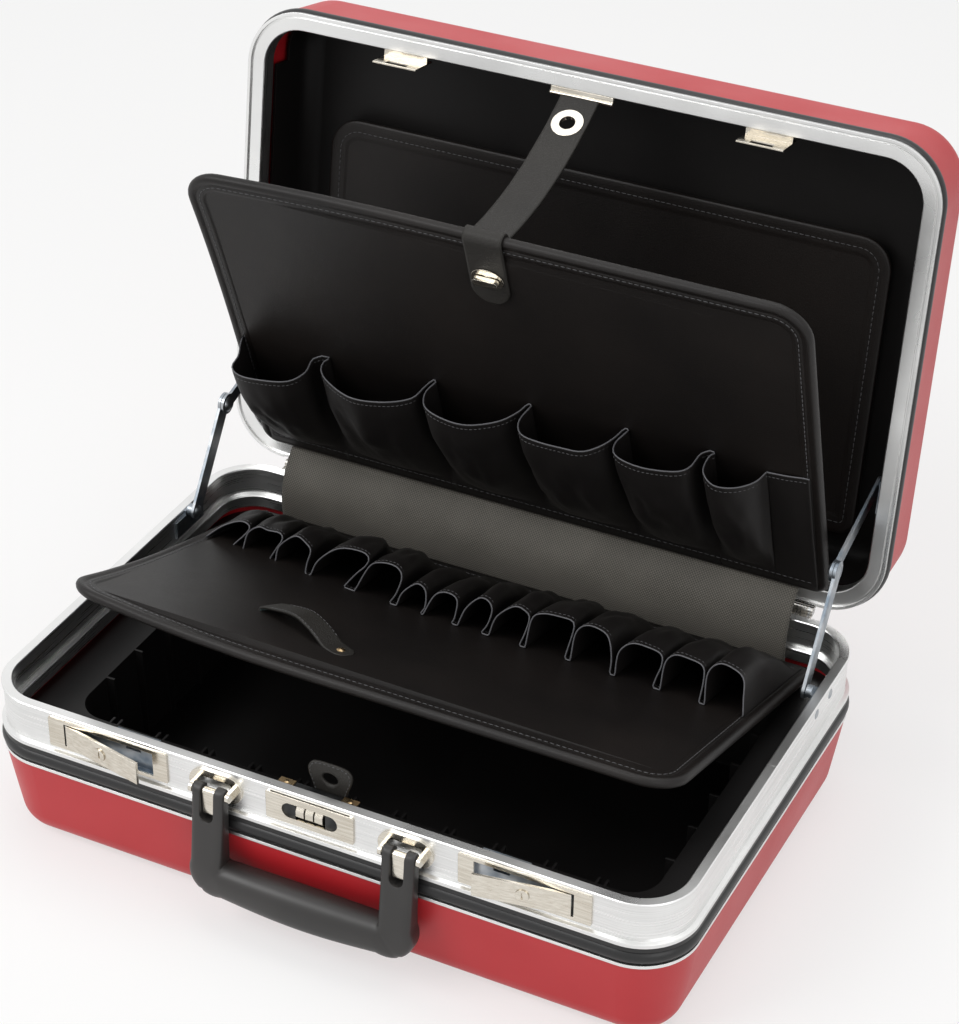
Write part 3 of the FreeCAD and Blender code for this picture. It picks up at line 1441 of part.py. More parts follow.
def lid_catches():
    wall = -(opening_half_y + lid_start_offset)
    catches = []
    for side in (-1, 1):
        x = side * catch_middle_x
        face = -opening_half_y + catch_reach
        plate = box(x - catch_width / 2, x + catch_width / 2, face, face + catch_thickness,
                    -catch_drop, catch_root_start + catch_root_height)
        root = box(x - catch_width / 2, x + catch_width / 2, wall, face + catch_thickness / 2,
                   catch_root_start, catch_root_start + catch_thickness)
        window = box(x - catch_window_length / 2, x + catch_window_length / 2, face - cut_overrun,
                     face + catch_thickness + cut_overrun, -bolt_drop - catch_window_height / 2,
                     -bolt_drop + catch_window_height / 2)
        foot = box(x - catch_width / 2, x + catch_width / 2, wall, wall + catch_thickness,
                   catch_root_start, catch_root_start + catch_root_height)
        catches.append(joined([plate, root, foot]).cut(window))
    return Part.makeCompound(catches)


# Small fittings inside the base's front

def front_tab():
    """Leather tab that stands up behind the combination lock, with a finger hole, leaning inward."""
    y = band_y + combination_housing_depth
    low = middle_z - combination_housing_height / 4
    tab = box(tab_x - tab_width / 2, tab_x + tab_width / 2, y, y + tab_thickness, low, low + tab_length)
    top_corners = [edge for edge in tab.Edges if abs(edge.tangentAt(edge.FirstParameter).y) > parallel_share
                   and edge.BoundBox.ZMin > low]
    tab = tab.makeFillet(tab_width * tab_round_share, top_corners)
    hole_z = low + tab_length - tab_width / 2
    tab = tab.cut(rod(tab_hole_r, Vector(tab_x, y - cut_overrun, hole_z),
                      Vector(tab_x, y + tab_thickness + cut_overrun, hole_z)))
    tab.rotate(Vector(tab_x, y, low), Vector(1, 0, 0), -tab_lean)
    return tab


def screw_plates():
    """Two small brass plates with screws on top of the combination lock's housing."""
    top = middle_z + combination_housing_height / 2
    back = band_y + combination_housing_depth
    plates = []
    for side in (-1, 1):
        x = side * (combination_housing_half - screw_plate_length / 2)
        plate = box(x - screw_plate_length / 2, x + screw_plate_length / 2, back - screw_plate_depth, back,
                    top, top + screw_plate_thickness)
        head = dome(screw_head_r, rivet_head_height / 2,
                    Vector(x, back - screw_plate_depth / 2, top + screw_plate_thickness), Vector(0, 0, 1))
        plates.append(joined([plate, head]))
    return Part.makeCompound(plates)


# The whole case

def build():
    keep_piece("base_shell", base_shell())
    for name, sign in (("front", -1), ("back", 1)):
        keep_piece("base_frame_" + name, frame_length(sign))
    keep_piece("base_edge_strip", base_edge_strip())
    keep_piece("base_insert_tray", base_insert_tray())
    keep_piece("hinge_base_leaf", hinge_base_leaf())
    keep_piece("hinge_pin", hinge_pin())
    keep_piece("lid_shell", on_open_lid(lid_shell()))
    keep_piece("lid_frame", on_open_lid(lid_frame()))
    keep_piece("lid_edge_strip", on_open_lid(lid_edge_strip()))
    keep_piece("hinge_lid_leaf", on_open_lid(hinge_lid_leaf()))
    keep_piece("lid_lining", on_open_lid(lid_lining()))
    keep_piece("document_panel", on_open_lid(document_panel()))
    keep_piece("panel_gusset", on_open_lid(panel_gusset()))
    keep_piece("lid_catches", on_open_lid(lid_catches()))
    bracket = lid_stay_bracket()
    keep_piece("lid_stay_brackets", on_open_lid(Part.makeCompound([bracket, mirrored(bracket)])))
    keep_piece("strap_bracket", on_open_lid(strap_bracket()))
    for side, name, rest_angle in ((-1, "left", left_lever_rest_angle), (1, "right", right_lever_rest_angle)):
        keep_piece(name + "_lock_plate", lock_plate(side))
        keep_piece(name + "_lock_housing", lock_housing(side))
        keep_piece(name + "_latch_lever", turned_open(latch_lever(side), side, rest_angle))
        keep_piece(name + "_key_cylinder", turned_open(key_cylinder(side), side, rest_angle))
        keep_piece(name + "_lock_bolt", lock_bolt(side, rest_angle))
    keep_piece("lock_pins", Part.makeCompound([lever_pin(-1), lever_pin(1), dial_axle()]))
    keep_piece("combination_plate", combination_plate())
    keep_piece("combination_housing", combination_housing())
    for index in range(dial_count):
        keep_piece("dial_" + str(index + 1), dial(index))
    keep_piece("screw_plates", screw_plates())
    keep_piece("front_tab", front_tab())
    keep_piece("handle_plates", handle_plates())
    keep_piece("handle_pins", Part.makeCompound([handle_pin(-1), handle_pin(1)]))
    keep_piece("carry_handle", carry_handle())
    keep_piece("handle_clips", handle_clips())
    base_bracket = base_stay_bracket()
    keep_piece("base_stay_brackets", Part.makeCompound([base_bracket, mirrored(base_bracket)] + stay_rivets()))
    for name, place in (("right", lambda shape: shape), ("left", mirrored)):
        keep_piece(name + "_stay_lower_arm", place(lower_stay_arm()))
        keep_piece(name + "_stay_upper_arm", place(upper_stay_arm()))
        keep_piece(name + "_knee_rivet", place(knee_rivet()))
        keep_piece(name + "_stay_end_rivet", place(stay_end_rivet()))
    keep_piece("upper_board", on_upper_board(board_plate(upper_board_length, upper_board_hinge_gap)))
    keep_piece("upper_board_pockets", on_upper_board(upper_board_pockets()))
    keep_piece("upper_board_rivets", on_upper_board(upper_board_rivets()))
    keep_piece("turn_lock_base", on_upper_board(turn_lock_base()))
    keep_piece("turn_lock_knob", on_upper_board(turn_lock_knob()))
    keep_piece("lower_board", on_lower_board(board_plate(lower_board_length, lower_board_hinge_gap)))
    keep_piece("lower_board_pockets", on_lower_board(lower_board_pockets()))
    keep_piece("finger_strap", on_lower_board(finger_strap()))
    keep_piece("finger_strap_rivet", on_lower_board(finger_strap_rivet()))
    ring, ring_room = strap_eyelet()
    keep_piece("strap", strap().cut(ring_room))
    keep_piece("strap_eyelet", ring)
    keep_piece("fabric_spine", fabric_spine())
    print("pieces", len(made))


build()
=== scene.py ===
import bpy
import bmesh
import math
from mathutils import Matrix, Vector, noise


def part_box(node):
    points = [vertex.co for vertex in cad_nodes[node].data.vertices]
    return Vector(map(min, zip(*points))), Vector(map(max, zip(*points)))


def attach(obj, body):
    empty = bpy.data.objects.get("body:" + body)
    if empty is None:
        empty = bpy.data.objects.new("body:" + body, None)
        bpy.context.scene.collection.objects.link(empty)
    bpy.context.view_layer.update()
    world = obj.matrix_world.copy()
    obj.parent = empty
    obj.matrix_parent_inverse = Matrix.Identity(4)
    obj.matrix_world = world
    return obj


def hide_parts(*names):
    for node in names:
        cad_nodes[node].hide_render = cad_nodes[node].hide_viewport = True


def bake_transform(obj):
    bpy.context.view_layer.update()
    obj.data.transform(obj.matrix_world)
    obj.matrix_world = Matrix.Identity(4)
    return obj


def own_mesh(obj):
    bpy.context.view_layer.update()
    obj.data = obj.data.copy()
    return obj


# A hard tool case, open. Metres, +Z up, front at -Y, hinge at +Y. Lengths on the object are in mm times mm.

mm = 0.001
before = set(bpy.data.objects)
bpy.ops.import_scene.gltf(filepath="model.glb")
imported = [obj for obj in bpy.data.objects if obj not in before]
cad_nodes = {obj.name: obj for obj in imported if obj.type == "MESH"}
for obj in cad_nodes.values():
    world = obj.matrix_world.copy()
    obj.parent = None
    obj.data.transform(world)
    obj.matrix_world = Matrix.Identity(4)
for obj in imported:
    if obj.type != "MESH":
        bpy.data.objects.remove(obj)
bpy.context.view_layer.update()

# Camera

camera_place = Vector((0.66279, -1.26797, 1.16629))
camera_right = Vector((0.89320566, 0.44960375, 0.00633332))
camera_up = Vector((-0.25894586, 0.50281799, 0.82469456))
camera_back = Vector((0.36760126, -0.73826184, 0.5655429))
camera_lens = 98.32
camera_sensor = 36
camera_shift = (0.00525, 0.05257)
camera_clip = (0.05, 50)


def make_camera():
    """Camera at the photograph's viewing angle."""
    data = bpy.data.cameras.new("camera")
    data.lens = camera_lens
    data.sensor_width = camera_sensor
    data.shift_x, data.shift_y = camera_shift
    data.clip_start, data.clip_end = camera_clip
    camera = bpy.data.objects.new("camera", data)
    turn = Matrix((camera_right, camera_up, camera_back)).transposed()
    camera.matrix_world = Matrix.Translation(camera_place) @ turn.to_4x4()
    bpy.context.collection.objects.link(camera)
    bpy.context.scene.camera = camera


# Material nodes

class Nodes:
    """Short calls to lay out one material's nodes."""

    def __init__(self, name):
        self.material = bpy.data.materials.new(name)
        self.material.use_nodes = True
        self.tree = self.material.node_tree
        self.tree.nodes.clear()
        self.output = self.add("ShaderNodeOutputMaterial")

    def add(self, kind, inputs=None, **settings):
        node = self.tree.nodes.new(kind)
        for key, value in settings.items():
            setattr(node, key, value)
        for key, value in (inputs or {}).items():
            if isinstance(value, bpy.types.NodeSocket):
                self.tree.links.new(value, node.inputs[key])
            else:
                node.inputs[key].default_value = value
        return node

    def place(self, kind="Object"):
        return self.add("ShaderNodeTexCoord").outputs[kind]

    def mapped(self, vector, scale, turn=(0, 0, 0)):
        return self.add("ShaderNodeMapping", {"Vector": vector, "Scale": scale, "Rotation": turn}).outputs["Vector"]

    def noise(self, vector, scale, detail):
        inputs = {"Vector": vector, "Scale": scale, "Detail": detail, "Roughness": 0.55}
        return self.add("ShaderNodeTexNoise", inputs).outputs["Fac"]

    def cells(self, vector, scale, feature="F1"):
        node = self.add("ShaderNodeTexVoronoi", {"Vector": vector, "Scale": scale}, feature=feature)
        return node.outputs["Distance"]

    def maths(self, operation, first, second=0.0):
        return self.add("ShaderNodeMath", {0: first, 1: second}, operation=operation).outputs[0]

    def span(self, value, low, high, from_low=0.0, from_high=1.0):
        """value, moved from its own range to the range low to high, and held inside it."""
        node = self.add("ShaderNodeMapRange", {"Value": value, "From Min": from_low, "From Max": from_high,
                                               "To Min": low, "To Max": high})
        return node.outputs["Result"]

    def blend(self, share, first, second):
        """Mix of two colours. 6, 7 and 2 are the colour sockets of a Mix node."""
        node = self.add("ShaderNodeMix", {0: share, 6: first, 7: second}, data_type="RGBA")
        return node.outputs[2]

    def bump(self, height, strength, distance, below=None):
        inputs = {"Height": height, "Strength": strength, "Distance": distance}
        if below is not None:
            inputs["Normal"] = below
        return self.add("ShaderNodeBump", inputs).outputs["Normal"]

    def rounded(self, radius):
        return self.add("ShaderNodeBevel", {"Radius": radius}, samples=6).outputs["Normal"]

    def shader(self, **inputs):
        """Principled shader of these inputs, such as base_color, on the material's output."""
        named = {key.replace("_", " ").title().replace("Ior", "IOR"): value for key, value in inputs.items()}
        node = self.add("ShaderNodeBsdfPrincipled", named)
        self.tree.links.new(node.outputs[0], self.output.inputs["Surface"])
        return self.material


def shade(colour):
    """Linear colour of an sRGB triple of 0 to 255."""
    parts = [c / 255 for c in colour]
    return tuple(c / 12.92 if c <= 0.04045 else ((c + 0.055) / 1.055) ** 2.4 for c in parts) + (1.0,)


# Colours as the eye sees them on each surface, 0 to 255

shell_red, shell_red_dark = shade((190, 32, 40)), shade((181, 28, 36))
aluminium_pale, aluminium_dark = shade((240, 240, 239)), shade((220, 220, 219))
nickel_pale, nickel_warm = shade((226, 221, 210)), shade((198, 190, 176))
zinc_pale, zinc_blue = shade((186, 188, 190)), shade((112, 124, 136))
brass_pale, brass_dark = shade((196, 172, 134)), shade((132, 108, 78))
black_rubber, rubber_dust = shade((15, 15, 16)), shade((26, 26, 27))
black_hide, hide_dust = shade((17, 14, 13)), shade((27, 23, 21))
# The pocket cloth and spine colour pairs are laid by the weave's height: darker in its hollows by painted shade, with
# random paler patches.
black_cloth, cloth_dust_and_thread_light = shade((15, 13, 13)), shade((27, 24, 23))
spine_dark, spine_pale = shade((58, 56, 52)), shade((124, 120, 112))
binding_grey = shade((104, 104, 108))
# The thread colours are the thread's own grey and a painted shade for the gaps between its strands.
thread_grey, strand_gap_shade = shade((84, 84, 86)), shade((30, 30, 32))
felt_grey, felt_dark = shade((92, 106, 104)), shade((66, 78, 78))
zinc_black, zinc_black_worn = shade((84, 84, 84)), shade((46, 47, 48))
tray_black, tray_dust = shade((16, 15, 15)), shade((23, 21, 21))
handle_black, handle_worn = shade((48, 46, 45)), shade((36, 35, 34))
lining_black, lining_dust = shade((14, 12, 12)), shade((20, 18, 17))
strap_black, strap_dust = shade((34, 32, 30)), shade((44, 42, 39))


def moulded_plastic(name, pale, dark, roughness, grain, depth, edge=0.6 * mm, specular=0.5):
    """Plastic with the fine grain of its mould, rubbed smoother here and there."""
    n = Nodes(name)
    place = n.place()
    fine = n.noise(place, 1 / grain, 2.0)
    broad = n.noise(place, 9.0, 4.0)
    pits = n.cells(place, 0.7 / grain)
    height = n.maths("ADD", n.maths("MULTIPLY", fine, 0.6), n.maths("MULTIPLY", pits, 0.5))
    colour = n.blend(n.span(broad, 0.0, 1.0, 0.35, 0.7), pale, dark)
    return n.shader(base_color=colour, roughness=n.span(broad, roughness - 0.05, roughness + 0.07, 0.3, 0.7),
                    specular_ior_level=specular, normal=n.bump(height, 0.5, depth, n.rounded(edge)))


def brushed_metal(name, pale, dark, roughness, streaks, turn=(0, 0, 0), edge=0.35 * mm):
    """Metal with fine streaks along its length and faint cloudy handling marks."""
    n = Nodes(name)
    place = n.mapped(n.place(), (1, 1, 1), turn)
    lines = n.noise(n.mapped(place, streaks), 1.0, 2.0)
    broad = n.noise(place, 14.0, 4.0)
    cloud = n.maths("ADD", n.maths("MULTIPLY", lines, 0.5), n.maths("MULTIPLY", broad, 0.5))
    colour = n.blend(n.span(cloud, 0.0, 1.0, 0.35, 0.65), pale, dark)
    return n.shader(base_color=colour, metallic=1.0,
                    roughness=n.span(lines, roughness - 0.06, roughness + 0.08, 0.3, 0.7),
                    normal=n.bump(lines, 0.35, 0.02 * mm, n.rounded(edge)))


def grained_hide(name, pale, dark, roughness, cell, depth):
    """Leather or leatherette: small pebbles with creases between them, and a broad unevenness."""
    n = Nodes(name)
    place = n.place()
    pebbles = n.cells(place, 1 / cell, "SMOOTH_F1")
    creases = n.cells(place, 0.62 / cell, "DISTANCE_TO_EDGE")
    fine = n.noise(place, 3.2 / cell, 2.0)
    broad = n.noise(place, 11.0, 3.0)
    height = n.maths("ADD", n.maths("MULTIPLY", n.span(creases, 0.0, 1.0, 0.0, 0.12), 0.7),
                     n.maths("ADD", n.maths("MULTIPLY", pebbles, -0.5), n.maths("MULTIPLY", fine, 0.3)))
    colour = n.blend(n.span(broad, 0.0, 1.0, 0.35, 0.7), pale, dark)
    soft = n.bump(n.noise(place, 26.0, 2.0), 0.25, 1.2 * mm)
    return n.shader(base_color=colour, roughness=n.span(fine, roughness - 0.07, roughness + 0.1, 0.3, 0.7),
                    specular_ior_level=0.3, normal=n.bump(height, 0.45, depth, soft))


def woven_cloth(name, pale, dark, roughness, thread, depth, sheen=0.3, slant=0.0):
    """Cloth of crossing threads, laid out by the mesh's own flat coordinates in metres, with painted shade in the
    weave's hollows.
    """
    n = Nodes(name)
    flat = n.mapped(n.place("UV"), (1, 1, 1), (0, 0, slant))
    parts = n.add("ShaderNodeSeparateXYZ", {"Vector": flat})
    turn = 2 * math.pi / thread
    across = n.maths("SINE", n.maths("MULTIPLY", parts.outputs[0], turn))
    along = n.maths("SINE", n.maths("MULTIPLY", parts.outputs[1], turn))
    weave = n.maths("MULTIPLY", across, along)
    fuzz = n.noise(flat, 2.0 / thread, 3.0)
    broad = n.noise(flat, 16.0, 4.0)
    height = n.maths("ADD", n.span(weave, 0.0, 1.0, -1.0, 1.0), n.maths("MULTIPLY", fuzz, 0.35))
    # Colour follows the weave's height: paler on raised threads and darker in the hollows by painted shade, plus
    # random broad tone.
    weave_shade_and_tone = n.maths("ADD", n.maths("MULTIPLY", height, 0.6), n.maths("MULTIPLY", broad, 0.4))
    colour = n.blend(n.span(weave_shade_and_tone, 0.0, 1.0, 0.25, 0.95), dark, pale)
    return n.shader(base_color=colour, roughness=roughness, sheen_weight=sheen, sheen_roughness=0.4,
                    specular_ior_level=0.25, normal=n.bump(height, 0.7, depth))


def plain_thread(name, colour):
    """Twisted thread or cord, with painted shade for the gaps between its strands."""
    n = Nodes(name)
    twist = n.noise(n.place(), 1800.0, 1.0)
    # Up to 35 percent painted strand-gap shade, laid by the twist noise.
    return n.shader(base_color=n.blend(n.span(twist, 0.0, 0.35), colour, strand_gap_shade),
                    roughness=0.5, normal=n.bump(twist, 0.5, 0.1 * mm))


lid_turn = (math.radians(98.6), 0, 0)
materials = {
    "shell": moulded_plastic("red_plastic", shell_red, shell_red_dark, 0.42, 0.55 * mm, 0.12 * mm, 1.0 * mm),
    "frame": brushed_metal("satin_aluminium", aluminium_pale, aluminium_dark, 0.3, (14, 14, 900)),
    "lid_frame": brushed_metal("satin_aluminium_lid", aluminium_pale, aluminium_dark, 0.3, (14, 14, 900), lid_turn),
    "nickel": brushed_metal("nickel_plate", nickel_pale, nickel_warm, 0.2, (60, 900, 900), edge=0.3 * mm),
    "zinc": brushed_metal("zinc_plate", zinc_pale, zinc_blue, 0.34, (90, 90, 90), edge=0.3 * mm),
    "dark": brushed_metal("dark_zinc", zinc_black, zinc_black_worn, 0.4, (90, 90, 90)),
    "steel": brushed_metal("steel", zinc_pale, nickel_warm, 0.28, (900, 60, 60), edge=0.3 * mm),
    "brass": brushed_metal("brass", brass_pale, brass_dark, 0.3, (300, 300, 300), edge=0.25 * mm),
    "rubber": moulded_plastic("black_rubber", black_rubber, rubber_dust, 0.38, 0.9 * mm, 0.04 * mm),
    "tray": moulded_plastic("tray_plastic", tray_black, tray_dust, 0.42, 0.8 * mm, 0.1 * mm, specular=0.35),
    "handle": moulded_plastic("handle_plastic", handle_black, handle_worn, 0.42, 0.7 * mm, 0.06 * mm, 1.2 * mm),
    "lining": moulded_plastic("lining_plastic", lining_black, lining_dust, 0.5, 0.8 * mm, 0.12 * mm, specular=0.25),
    "hide": grained_hide("board_leatherette", black_hide, hide_dust, 0.44, 1.1 * mm, 0.12 * mm),
    "leather": grained_hide("strap_leather", strap_black, strap_dust, 0.5, 1.5 * mm, 0.3 * mm),
    "cloth": woven_cloth("pocket_cloth", cloth_dust_and_thread_light, black_cloth, 0.55, 0.8 * mm, 0.05 * mm, 0.0),
    "spine": woven_cloth("spine_cloth", spine_pale, spine_dark, 0.55, 2.1 * mm, 0.3 * mm, 0.2, 0.12),
    "binding": plain_thread("grey_binding", binding_grey),
    "pale_thread": plain_thread("grey_thread", thread_grey),
    "felt": grained_hide("grey_suede", felt_grey, felt_dark, 0.8, 0.8 * mm, 0.1 * mm),
}

# CAD nodes that keep their shape, by material

node_materials = {
    "shell": ["base_shell", "lid_shell"],
    "frame": ["base_frame_front", "base_frame_back"],
    "lid_frame": ["lid_frame"],
    "rubber": ["base_edge_strip", "lid_edge_strip"],
    "tray": ["base_insert_tray"],
    "lining": ["lid_lining"],
    "nickel": ["left_lock_plate", "right_lock_plate", "left_latch_lever", "right_latch_lever", "left_key_cylinder",
               "right_key_cylinder", "combination_plate", "handle_plates", "handle_clips", "handle_pins", "lock_pins",
               "lid_catches", "strap_bracket", "strap_eyelet", "turn_lock_base", "turn_lock_knob", "dial_1", "dial_2",
               "dial_3"],
    "zinc": ["left_lock_housing", "right_lock_housing", "left_lock_bolt", "right_lock_bolt",
             "left_stay_lower_arm", "right_stay_lower_arm", "left_stay_upper_arm", "right_stay_upper_arm",
             "left_knee_rivet", "right_knee_rivet", "left_stay_end_rivet", "right_stay_end_rivet",
             "base_stay_brackets", "lid_stay_brackets"],
    "dark": ["combination_housing"],
    "steel": ["hinge_base_leaf", "hinge_lid_leaf", "hinge_pin", "upper_board_rivets"],
    "brass": ["screw_plates", "finger_strap_rivet"],
}


def dress_nodes():
    """Gives each kept CAD node its material."""
    for key, nodes in node_materials.items():
        for node in nodes:
            slots = cad_nodes[node].material_slots
            if len(slots) == 0:
                cad_nodes[node].data.materials.append(materials[key])
            for slot in slots:
                slot.material = materials[key]


# Mesh helpers

def make_piece(name, mesh, body, keys, nodes=()):
    """Puts a mesh in the scene on a body, with its materials unless it has its own, and hides the nodes it stands for.
    """
    piece = bpy.data.objects.new(name, mesh)
    bpy.context.collection.objects.link(piece)
    if len(mesh.materials) == 0:
        for key in keys:
            mesh.materials.append(materials[key])
    for face in mesh.polygons:
        face.use_smooth = True
    if body is not None:
        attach(piece, body)
    for node in nodes:
        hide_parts(node)
    return piece


def running(points):
    """Distance of each point along the line from its first."""
    total, out = 0.0, [0.0]
    for a, b in zip(points, points[1:]):
        total += (b - a).length
        out.append(total)
    return out


def place_along(points, reach, s):
    """Place at distance s along a line of points that lie at the distances reach."""
    k = 0
    while k < len(reach) - 2 and reach[k + 1] < s:
        k += 1
    share = (s - reach[k]) / max(reach[k + 1] - reach[k], 1e-9)
    return points[k].lerp(points[k + 1], min(max(share, 0.0), 1.0))


def sheet_mesh(name, rows, skip=None):
    """Grid of points, with its flat coordinates in metres and without the faces that skip names."""
    wide, tall = len(rows[0]), len(rows)
    faces = [(i * wide + j, i * wide + j + 1, (i + 1) * wide + j + 1, (i + 1) * wide + j)
             for i in range(tall - 1) for j in range(wide - 1) if skip is None or not skip(i, j)]
    mesh = bpy.data.meshes.new(name)
    mesh.from_pydata([p for row in rows for p in row], [], faces)
    across = running(rows[tall // 2])
    down = running([row[wide // 2] for row in rows])
    layer = mesh.uv_layers.new(name="flat")
    for loop in mesh.loops:
        i, j = divmod(loop.vertex_index, wide)
        layer.data[loop.index].uv = (across[j], down[i])
    return mesh


def cut_size(rows, mesh):
    """Width, length and area of a sheet as it lies flat."""
    columns = zip(*rows)
    return (max(running(row)[-1] for row in rows), max(running(column)[-1] for column in columns),
            sum(face.area for face in mesh.polygons))


def thickened(mesh, thickness, inside=0):
    """The same sheet with real thickness, as a new mesh. inside is its back face's step in the materials."""
    piece = bpy.data.objects.new(mesh.name, mesh)
    bpy.context.collection.objects.link(piece)
    solid = piece.modifiers.new("thickness", "SOLIDIFY")
    solid.thickness = thickness
    solid.offset = 0.0
    solid.material_offset = inside
    graph = bpy.context.evaluated_depsgraph_get()
    out = bpy.data.meshes.new_from_object(piece.evaluated_get(graph), depsgraph=graph)
    bpy.data.objects.remove(piece)
    return out


def tube_mesh(name, paths, radius, sides=8, ends=0.6):
    """Round strings along lines of points, with rounded ends."""
    points, faces = [], []
    for path in paths:
        first = len(points)
        normal = None
        for i, place in enumerate(path):
            ahead = (path[min(i + 1, len(path) - 1)] - path[max(i - 1, 0)]).normalized()
            if normal is None:
                normal = ahead.orthogonal().normalized()
            normal = (normal - ahead * normal.dot(ahead)).normalized()
            other = ahead.cross(normal)
            r = radius * (ends if i in (0, len(path) - 1) else 1.0)
            for k in range(sides):
                turn = 2 * math.pi * k / sides
                points.append(place + (normal * math.cos(turn) + other * math.sin(turn)) * r)
        for i in range(len(path) - 1):
            for k in range(sides):
                a, b = first + i * sides + k, first + i * sides + (k + 1) % sides
                faces.append((a, b, b + sides, a + sides))
        faces.append(tuple(range(first + sides - 1, first - 1, -1)))
        faces.append(tuple(range(first + (len(path) - 1) * sides, first + len(path) * sides)))
    mesh = bpy.data.meshes.new(name)
    mesh.from_pydata(points, [], faces)
    return mesh


def dashes(path, pitch, length):
    """Short lines of three points at even steps along a line of points."""
    reach = running(path)
    out, at = [], pitch / 2
    while at + length / 2 < reach[-1]:
        out.append([place_along(path, reach, at + step) for step in (-length / 2, 0, length / 2)])
        at += pitch
    return out


def smooth_line(points, steps):
    """Smooth line through pairs of numbers."""
    out = []
    for i in range(len(points) - 1):
        p0, p1 = points[max(i - 1, 0)], points[i]
        p2, p3 = points[i + 1], points[min(i + 2, len(points) - 1)]
        for k in range(steps):
            t = k / steps
            out.append(tuple(0.5 * (2 * b + (c - a) * t + (2 * a - 5 * b + 4 * c - d) * t * t
                                    + (3 * b - a - 3 * c + d) * t ** 3) for a, b, c, d in zip(p0, p1, p2, p3)))
    out.append(points[-1])
    return out


def even_line(points, count):
    """The same line of number pairs at even steps."""
    vectors = [Vector(p) for p in points]
    reach = running(vectors)
    return [place_along(vectors, reach, reach[-1] * i / (count - 1)) for i in range(count)]


# Boards and the document panel: x across, d from the hinge line, h off the middle plane towards the front

planes = {
    "upper": (Vector((0, 157.839, 132.52)), Vector((0, -0.32102, 0.94707)), Vector((0, -0.94707, -0.32102))),
    "lower": (Vector((0, 141.4, 80.4)), Vector((0, -0.9563, 0.29237)), Vector((0, 0.29237, 0.9563))),
    "panel": (Vector((0, 218.08, 139.03)), Vector((0, 0.14953, 0.98876)), Vector((0, -0.98876, 0.14953))),
}
curls = {"upper": (7.0, 263.0), "lower": (11.0, 252.0)}     # rise of the corner, and the board's length


def on_plane(plane, x, d, h):
    """Place in metres on a board. Each board's far left corner has curled up a little with age."""
    origin, along, normal = planes[plane]
    if plane in curls:
        rise, far = curls[plane]
        corner = min(max((-x - 40) / 170, 0.0), 1.0) * min(max((d - 100) / (far - 100), 0.0), 1.0)
        h = h + rise * corner ** 2.2
    return (origin + Vector((x, 0, 0)) + along * d + normal * h) * mm


corner_steps, side_steps = 9, 10


def outline(half_x, low, high, low_r, high_r, inset):
    """Closed rounded outline, drawn in by inset, as (x, d) pairs."""
    out = []
    corners = ((1, high, high_r, 0), (-1, high, high_r, 90), (-1, low, low_r, 180), (1, low, low_r, 270))
    for side, end, r, start in corners:
        r = max(r - inset, 0.4)
        sign = 1 if end == high else -1
        centre_x, centre_d = side * (half_x - inset - r), end - sign * (inset + r)
        arc = [(centre_x + r * math.cos(math.radians(start + 90 * k / corner_steps)),
                centre_d + r * math.sin(math.radians(start + 90 * k / corner_steps)))
               for k in range(corner_steps + 1)]
        if out:
            out += between(out[-1], arc[0], side_steps)
        out += arc
    return out + between(out[-1], out[0], side_steps)


def between(a, b, steps):
    """Pairs on the straight line from a to b, without its ends."""
    return [(a[0] + (b[0] - a[0]) * k / steps, a[1] + (b[1] - a[1]) * k / steps) for k in range(1, steps)]


def board_mesh(name, plane, shape, roll):
    """Closed board from its outline, with the same profile of (inset, height) on both faces."""
    points, faces = [], []
    rings = [(inset, h) for inset, h in reversed(roll)] + [(inset, -h) for inset, h in roll[1:]]
    for inset, h in rings:
        points += [on_plane(plane, x, d, h) for x, d in outline(*shape, inset)]
    count = len(points) // len(rings)
    for i in range(len(rings) - 1):
        for k in range(count):
            a, b = i * count + k, i * count + (k + 1) % count
            faces.append((a, a + count, b + count, b))
    faces.append(tuple(range(count)))
    faces.append(tuple(reversed(range(len(points) - count, len(points)))))
    mesh = bpy.data.meshes.new(name)
    mesh.from_pydata(points, [], faces)
    return mesh


def seam_line(plane, shape, inset, h):
    """Closed line along a board's edge for its stitches."""
    ring = [on_plane(plane, x, d, h) for x, d in outline(*shape, inset)]
    return ring + ring[:1]


# Each board's rolled edge as (inset, height), and its outline as half width, near and far end and their corners' radii

board_roll = [(0, 0), (0.25, 1.3), (0.95, 2.45), (2.0, 3.15), (3.3, 3.4), (4.7, 3.15), (5.9, 2.7), (6.6, 2.45),
              (7.2, 2.6), (8.1, 2.85), (9.0, 2.7), (9.9, 2.85), (11.2, 2.8), (12.1, 2.6), (12.7, 2.3), (14.0, 2.2)]
panel_roll = [(0, 0), (0.2, 0.9), (0.8, 1.6), (2.0, 1.85), (6.0, 1.9), (8.0, 1.75), (10.0, 1.9), (12.2, 1.8),
              (12.9, 1.5), (14.5, 1.45)]
board_shapes = {
    "upper": (210, 0.5, 263, 12, 25),
    "lower": (210, 1.85, 252, 12, 25),
    "panel": (202, 0, 206, 11, 22),
}


def make_boards():
    """Covers of the two boards and the document panel, with their stitches."""
    for plane, body in (("upper", "upper_board"), ("lower", "lower_board"), ("panel", "document_panel")):
        roll, seam, heights = (panel_roll, 8.0, [1.85]) if plane == "panel" else (board_roll, 9.0, [2.78, -2.78])
        mesh = board_mesh(body + "_cover", plane, board_shapes[plane], roll)
        make_piece(body + "_cover", mesh, body, ["hide"], [body])
        paths = []
        for height in heights:
            paths += dashes(seam_line(plane, board_shapes[plane], seam, height), 4.0 * mm, 2.9 * mm)
        make_piece(body + "_stitches", tube_mesh(body + "_stitches", paths, 0.34 * mm, 6), body, ["pale_thread"])


# Pockets: each one's mouth as (x, h) from one seam to the next, and the seams' places as (x, d)

